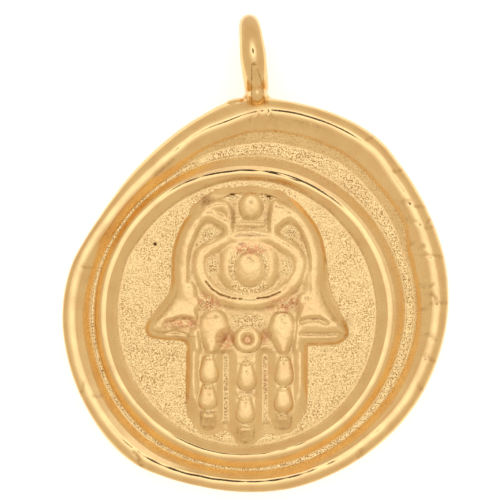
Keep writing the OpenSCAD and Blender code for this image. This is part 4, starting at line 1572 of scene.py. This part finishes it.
@dataclass(frozen=True)
class GoldPlate:
    """18 carat gold, electroplated on cast brass: polished where it stands proud, blasted on its floors."""

    name: str = "gold_plate_on_cast_brass"
    # What this gives the eye: bright and warm at a glance, deep orange where one wall mirrors the
    # next, soft brown of tarnish and of painted shade in corners, and floors that scatter light like fine
    # sand.
    colour: str = "#F1CF92"
    polished_roughness: float = 0.12
    blasted_roughness: float = 0.28
    noises: tuple[Blotches, ...] = (
        # Slow changes of the plating's warmth, and the ragged edges of its stains
        Blotches("cloud", 1.2, 3.0, 0.55),
        Blotches("ragged", 0.22, 4.0, 0.6),
        # Real blasting grit leaves marks of 0.03 to 0.06 mm, drawn this coarse so that they show
        Blotches("grit", 0.13, 2.0, 0.5),
        Blotches("specks", 0.078, 2.0, 0.6),
        Blotches("dots", 0.085, 1.0, 0.5),
        # Where rubbing took soil off the grain, the strokes it left, and the faint waves of the polish
        Blotches("rubbed", 1.7, 2.0, 0.5),
        Blotches("strokes", 0.11, 2.0, 0.5),
        Blotches("waves", 0.35, 2.0, 0.5),
    )
    layers: tuple[Layer, ...] = (
        # Warmer clouds, and the paler skin of the blasted floors
        Layer("#EBC489", (("cloud", 0.4, 0.65),)),
        Layer("#FFE2A4", (("blasted", 0, 1),)),
        # Pink where the copper under the gold shines through
        Layer("#E6AA7A", (("copper_patch", 0.05, 0.55),)),
        # Soil in the grain: specks, fewer where it was rubbed, and scattered dots
        Layer("#A26F3A", (("specks", 0.50, 0.60), ("rubbed", 0.12, 0.48), ("blasted", 0, 1.087))),
        Layer("#8A602D", (("dots", 0.63, 0.71), ("blasted", 0, 1), ("blasted", 0, 1))),
        # Brown tarnish, and painted shade in corners, crevices and round the beads and the pupil, nearly
        # black where it is thickest
        Layer("#946332", (("brown_patch", 0.05, 0.55),)),
        Layer("#4A3518", (("brown", 1.6, 2.6),)),
    )
    # How ragged the edges of copper and brown patches are, and how much of a patch shows on average
    copper_ragged: float = 1.6
    brown_ragged: float = 0.7
    patch_level: float = 0.25
    # The strokes run this way, as many times narrower than long, and are this deep beside the grit
    stroke_turn: float = -38.0
    stroke_squash: float = 0.22
    stroke_share: float = 0.5
    # Grain of this strength is as dull as the blasted floors get
    dull_grain: float = 0.35
    grit_depth_mm: float = 0.052
    wave_depth_mm: float = 0.0022

    def material(self) -> bpy.types.Material:
        """Build the plating's node material.

        Returns:
            The material.
        """
        made = bpy.data.materials.new(self.name)
        made.use_nodes = True
        tree = made.node_tree
        tree.nodes.clear()
        values = self.values(tree)
        base = srgb(self.colour)
        for layer in self.layers:
            base = add_node(tree, "ShaderNodeMix", {"data_type": "RGBA"}, {
                0: self.mask(tree, values, layer), 6: base, 7: srgb(layer.colour),
            }).outputs[2]
        rough = add_node(tree, "ShaderNodeMapRange", {}, {
            "Value": values["grain"], "From Max": self.dull_grain,
            "To Min": self.polished_roughness, "To Max": self.blasted_roughness,
        }).outputs["Result"]
        sand = add_node(tree, "ShaderNodeMath", {"operation": "MULTIPLY_ADD"}, {
            0: values["strokes"], 1: self.stroke_share, 2: values["grit"],
        }).outputs[0]
        sand = add_node(tree, "ShaderNodeMath", {"operation": "MULTIPLY"}, {
            0: sand, 1: values["blasted"],
        }).outputs[0]
        polish = add_node(tree, "ShaderNodeBump", {}, {
            "Height": values["waves"], "Distance": self.wave_depth_mm * MM, "Strength": 1.0,
        }).outputs["Normal"]
        bump = add_node(tree, "ShaderNodeBump", {}, {
            "Height": sand, "Distance": self.grit_depth_mm * MM, "Strength": 1.0, "Normal": polish,
        }).outputs["Normal"]
        shader = add_node(tree, "ShaderNodeBsdfPrincipled", {}, {
            "Base Color": base, "Roughness": rough, "Metallic": 1.0, "Normal": bump,
        })
        add_node(tree, "ShaderNodeOutputMaterial", {}, {"Surface": shader.outputs["BSDF"]})
        return made

    def values(self, tree: bpy.types.NodeTree) -> dict[str, bpy.types.NodeSocket]:
        """Read the grain, the copper and the brown, which holds tarnish and painted shade, from the mesh, and
        add the noises, which the layers and the relief are made of.

        Args:
            tree: the material's node tree.

        Returns:
            Every value by its name.
        """
        place = add_node(tree, "ShaderNodeTexCoord").outputs["Object"]
        along_strokes = add_node(tree, "ShaderNodeMapping", {}, {
            "Vector": place, "Rotation": (0, 0, math.radians(self.stroke_turn)),
            "Scale": (1.0, self.stroke_squash, 1.0),
        }).outputs["Vector"]
        found = {}
        for kind in WearAndShade:
            found[kind.value] = add_node(tree, "ShaderNodeAttribute", {
                "attribute_name": kind.value,
            }).outputs["Fac"]
        for noise in self.noises:
            found[noise.name] = add_node(tree, "ShaderNodeTexNoise", {}, {
                "Vector": along_strokes if noise.name == "strokes" else place,
                "Scale": 1 / (noise.size_mm * MM), "Detail": noise.detail, "Roughness": noise.roughness,
            }).outputs["Fac"]
        for kind, ragged in ((WearAndShade.COPPER, self.copper_ragged), (WearAndShade.BROWN, self.brown_ragged)):
            edge = add_node(tree, "ShaderNodeMath", {"operation": "MULTIPLY_ADD"}, {
                0: found["ragged"], 1: ragged, 2: self.patch_level - ragged / 2,
            }).outputs[0]
            found[kind.value + "_patch"] = add_node(tree, "ShaderNodeMath", {"operation": "MULTIPLY"}, {
                0: found[kind.value], 1: edge,
            }).outputs[0]
        # Grain counts twice, so that it fades quickly at the edges of the floors
        found["blasted"] = add_node(tree, "ShaderNodeMath", {"operation": "MULTIPLY"}, {
            0: found["grain"], 1: found["grain"],
        }).outputs[0]
        return found

    @staticmethod
    def mask(tree: bpy.types.NodeTree, values: dict[str, bpy.types.NodeSocket],
             layer: Layer) -> bpy.types.NodeSocket:
        """Multiply a layer's mask from its stretched values.

        Args:
            tree: the material's node tree.
            values: every value by its name.
            layer: the layer.

        Returns:
            The mask, from 0 to 1.
        """
        parts = [
            add_node(tree, "ShaderNodeMapRange", {}, {
                "Value": values[name], "From Min": low, "From Max": high,
            }).outputs["Result"]
            for name, low, high in layer.parts
        ]
        whole = parts[0]
        for part in parts[1:]:
            whole = add_node(tree, "ShaderNodeMath", {"operation": "MULTIPLY"}, {
                0: whole, 1: part,
            }).outputs[0]
        return whole


@dataclass(frozen=True)
class LightTable:
    """Opal acrylic sheet, cast with a matt face and lit from below in a window under the pendant."""

    name: str = "opal_acrylic"
    # What this gives the eye: an even white without a shadow, and pale grey further out. The
    # shader's own index of 1.5 stands for acrylic's 1.49.
    colour: str = "#F7F7F6"
    roughness: float = 0.6
    glow: float = 0.51
    # The lit window in metres: half its width, how far it fades, and how round its corners are
    window_half: float = 0.0148
    window_fade: float = 0.004
    corner_round: float = 0.002

    def material(self) -> bpy.types.Material:
        """Build the table's material.

        Returns:
            The material.
        """
        made = bpy.data.materials.new(self.name)
        made.use_nodes = True
        tree = made.node_tree
        tree.nodes.clear()
        place = add_node(tree, "ShaderNodeTexCoord").outputs["Object"]
        parts = add_node(tree, "ShaderNodeSeparateXYZ", {}, {0: place})
        away = [
            add_node(tree, "ShaderNodeMath", {"operation": "ABSOLUTE"}, {0: parts.outputs[i]}).outputs[0]
            for i in (0, 1)
        ]
        away = add_node(tree, "ShaderNodeMath", {"operation": "SMOOTH_MAX"}, {
            0: away[0], 1: away[1], 2: self.corner_round,
        })
        glow = add_node(tree, "ShaderNodeMapRange", {"interpolation_type": "SMOOTHSTEP"}, {
            "Value": away.outputs[0], "From Min": self.window_half,
            "From Max": self.window_half + self.window_fade, "To Min": self.glow, "To Max": 0.0,
        }).outputs["Result"]
        shader = add_node(tree, "ShaderNodeBsdfPrincipled", {}, {
            "Base Color": srgb(self.colour), "Roughness": self.roughness,
            "Emission Color": (1.0, 1.0, 1.0, 1.0), "Emission Strength": glow,
        })
        add_node(tree, "ShaderNodeOutputMaterial", {}, {"Surface": shader.outputs["BSDF"]})
        return made


@dataclass
class Studio:
    """The light table, the white tent over it and the camera that looks straight at the face."""

    tilt: float
    table_w: float = 0.6
    lens_mm: float = 180.0
    sensor_mm: float = 36.0
    # The picture's width at the coin's face
    frame_mm: float = 500 * 22.0 / SHARES
    # Degrees from the lens opening, and the tent's brightness there
    tent_stops: tuple[tuple[float, float], ...] = (
        (0.0, 0.01), (6.6, 0.01), (8.0, 1.62), (14, 1.46), (19, 1.18), (27, 0.93), (36, 0.75),
        (60, 0.69), (95, 0.72), (180, 0.85))
    # A ramp's colours end at 1, so they are divided by this, and the light's strength makes up for it
    headroom: float = 2.0
    # Above this brightness the tent shows the lamps behind it, elsewhere its own cloth
    lamp_level: float = 0.9
    lamp_tint: tuple[float, float, float] = (1.04, 1.005, 1.01)
    cloth_tint: tuple[float, float, float] = (1.11, 0.97, 0.80)
    # Where the face mirrors the opening: degrees from its normal, and the direction in its plane
    opening_lean: float = 13.0
    opening_side: float = 81.0
    # The picture's middle: across and up from the coin's middle in shares, and its height
    aim_x: float = 0.5
    aim_y: float = 63.5
    aim_z_mm: float = 1.6

    @property
    def axis(self) -> Vector:
        """The direction straight out of the coin's face."""
        return Vector((0.0, -math.sin(self.tilt), math.cos(self.tilt)))

    @property
    def opening(self) -> Vector:
        """The direction of the dark opening for the lens, as the tilted face mirrors it."""
        lean, side = math.radians(self.opening_lean), math.radians(self.opening_side)
        flat = Vector((math.sin(lean) * math.cos(side), math.sin(lean) * math.sin(side), math.cos(lean)))
        return Matrix.Rotation(self.tilt, 3, "X") @ flat

    def build_table(self, aim: Vector) -> bpy.types.Object:
        """Lay the light table under the pendant, its window where the camera looks.

        Args:
            aim: the point in the middle of the picture, in metres.

        Returns:
            The table top.
        """
        half = self.table_w / 2
        mesh = bpy.data.meshes.new("light_table")
        corners = [(-half, -half, 0), (half, -half, 0), (half, half, 0), (-half, half, 0)]
        mesh.from_pydata(corners, [], [(0, 1, 2, 3)])
        mesh.materials.append(LightTable().material())
        table = bpy.data.objects.new("light_table", mesh)
        table.location = aim - self.axis * (aim.z / self.axis.z)
        bpy.context.scene.collection.objects.link(table)
        return table

    def build_tent(self) -> None:
        """Light the scene with a white tent: bright overhead, with a dark gap for the lens."""
        world = bpy.data.worlds.new("light_tent")
        bpy.context.scene.world = world
        world.use_nodes = True
        tree = world.node_tree
        tree.nodes.clear()
        direction = add_node(tree, "ShaderNodeTexCoord").outputs["Generated"]
        near = add_node(tree, "ShaderNodeVectorMath", {"operation": "DOT_PRODUCT"}, {
            0: direction, 1: tuple(self.opening),
        }).outputs["Value"]
        angle = add_node(tree, "ShaderNodeMath", {"operation": "ARCCOSINE"}, {0: near}).outputs[0]
        share = add_node(tree, "ShaderNodeMath", {"operation": "DIVIDE"}, {0: angle, 1: math.pi}).outputs[0]
        ramp = add_node(tree, "ShaderNodeValToRGB", {}, {"Fac": share})
        stops = ramp.color_ramp.elements
        for i, (at, level) in enumerate(self.tent_stops):
            stop = stops[i] if i < 2 else stops.new(at / 180)
            stop.position = at / 180
            tint = self.lamp_tint if level > self.lamp_level else self.cloth_tint
            stop.color = (*(level * part / self.headroom for part in tint), 1.0)
        light = add_node(tree, "ShaderNodeBackground", {}, {
            "Color": ramp.outputs["Color"], "Strength": self.headroom,
        })
        add_node(tree, "ShaderNodeOutputWorld", {}, {"Surface": light.outputs["Background"]})

    def build_camera(self, aim: Vector) -> None:
        """Set the camera straight over the face.

        Args:
            aim: the point in the middle of the picture, in metres.
        """
        data = bpy.data.cameras.new("camera")
        data.lens = self.lens_mm
        data.sensor_width = self.sensor_mm
        distance = self.frame_mm * MM * self.lens_mm / self.sensor_mm
        data.clip_start, data.clip_end = distance / 50, distance * 20
        camera = bpy.data.objects.new("camera", data)
        bpy.context.scene.collection.objects.link(camera)
        camera.location = aim + self.axis * distance
        turned = Matrix.Rotation(self.tilt, 4, "X")
        camera.rotation_euler = turned.to_euler()
        bpy.context.scene.camera = camera


@dataclass
class Lying:
    """How the pendant lies: tilted about X on its back and its loop, and moved to its place."""

    tilt: float
    shift: np.ndarray = field(default_factory=lambda: np.zeros(3))

    def turned(self, points: np.ndarray) -> np.ndarray:
        """Tilt points of the coin's own frame, in millimetres."""
        (x, y, z), c, s = points.T, math.cos(self.tilt), math.sin(self.tilt)
        return np.stack([x, y * c - z * s, y * s + z * c], -1)

    def place(self, points: np.ndarray) -> np.ndarray:
        """Bring points from the coin's own frame to the row's, in metres."""
        return self.turned(points) * MM + self.shift


@dataclass
class Pendant:
    """The whole casting: its three surfaces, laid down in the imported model's place."""

    sizes: CoinSizes = field(default_factory=CoinSizes)

    def build(self) -> tuple[list[bpy.types.Object], Lying]:
        """Build and place every piece.

        Returns:
            The pieces, and how they lie.
        """
        medallion = Medallion(self.sizes)
        outline_top = medallion.table(np.array([90.0]))["outline"][0]
        loop = HangingLoop(self.sizes, outline_top)
        surfaces = {
            "medallion": medallion.surface(),
            "hand_relief": HandRelief(self.sizes).surface(),
            "hanging_loop": loop.surface(),
        }
        lying = self.lie_down(surfaces, loop)
        plate = GoldPlate().material()
        pieces = []
        for name, surface in surfaces.items():
            piece = self.make_piece(name, surface, lying, plate)
            LOG.info("%s: %d points, %d faces", name, len(surface.points), len(surface.faces))
            pieces.append(piece)
        return pieces, lying

    def lie_down(self, surfaces: dict[str, Surface], loop: HangingLoop) -> Lying:
        """Tilt the casting until its loop and its far edge touch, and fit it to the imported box.

        Args:
            surfaces: every surface in the coin's own frame.
            loop: the loop that lifts one side.

        Returns:
            How the casting lies.
        """
        body = surfaces["medallion"].points
        far_edge = -body[body[:, 2] < 1e-6, 1].min()
        loop_out = loop.ring_r + self.sizes.loop_wire / 2
        reach = math.hypot(loop.middle_y + far_edge, self.sizes.rim_t / 2)
        tilt = math.asin(loop_out / reach) - math.atan2(self.sizes.rim_t / 2, loop.middle_y + far_edge)
        lying = Lying(tilt)
        turned = np.concatenate([lying.turned(s.points) for s in surfaces.values()]) * MM
        low, high = (np.array(corner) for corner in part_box(NODE))
        middle = (low + high) / 2 - (turned.min(0) + turned.max(0)) / 2
        lying.shift = np.array([middle[0], middle[1], low[2] - turned[:, 2].min()])
        LOG.info("tilt %.3f degrees, shift %s mm", math.degrees(tilt), (lying.shift / MM).round(4))
        return lying

    @staticmethod
    def make_piece(name: str, surface: Surface, lying: Lying, plate: bpy.types.Material) -> bpy.types.Object:
        """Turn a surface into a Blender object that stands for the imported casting.

        Args:
            name: the piece's name.
            surface: its mesh and wear.
            lying: how it lies.
            plate: its material.

        Returns:
            The new object.
        """
        mesh = bpy.data.meshes.new(name)
        mesh.from_pydata(lying.place(surface.points).tolist(), [], surface.faces)
        mesh.polygons.foreach_set("use_smooth", [True] * len(mesh.polygons))
        for kind, values in surface.wear_and_shade.items():
            layer = mesh.attributes.new(kind.value, "FLOAT", "POINT")
            layer.data.foreach_set("value", np.ascontiguousarray(values, np.float32))
        mesh.materials.append(plate)
        mesh.update()
        piece = bpy.data.objects.new(name, mesh)
        bpy.context.scene.collection.objects.link(piece)
        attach(piece, "root")
        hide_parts(NODE)
        return piece


def main() -> None:
    """Load the frame, build the pendant round it and set up the studio."""
    logging.basicConfig(level=logging.INFO, format="%(name)s: %(message)s")
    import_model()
    bpy.context.scene.view_settings.view_transform = "Standard"
    pieces, lying = Pendant().build()
    LOG.info("pieces: %s", ", ".join(piece.name for piece in pieces))
    studio = Studio(lying.tilt)
    studio.build_tent()
    unit = CoinSizes().unit
    middle = np.array([[studio.aim_x * unit, studio.aim_y * unit, studio.aim_z_mm]])
    aim = Vector(lying.place(middle)[0])
    studio.build_table(aim)
    studio.build_camera(aim)


if __name__ == "__main__":
    main()
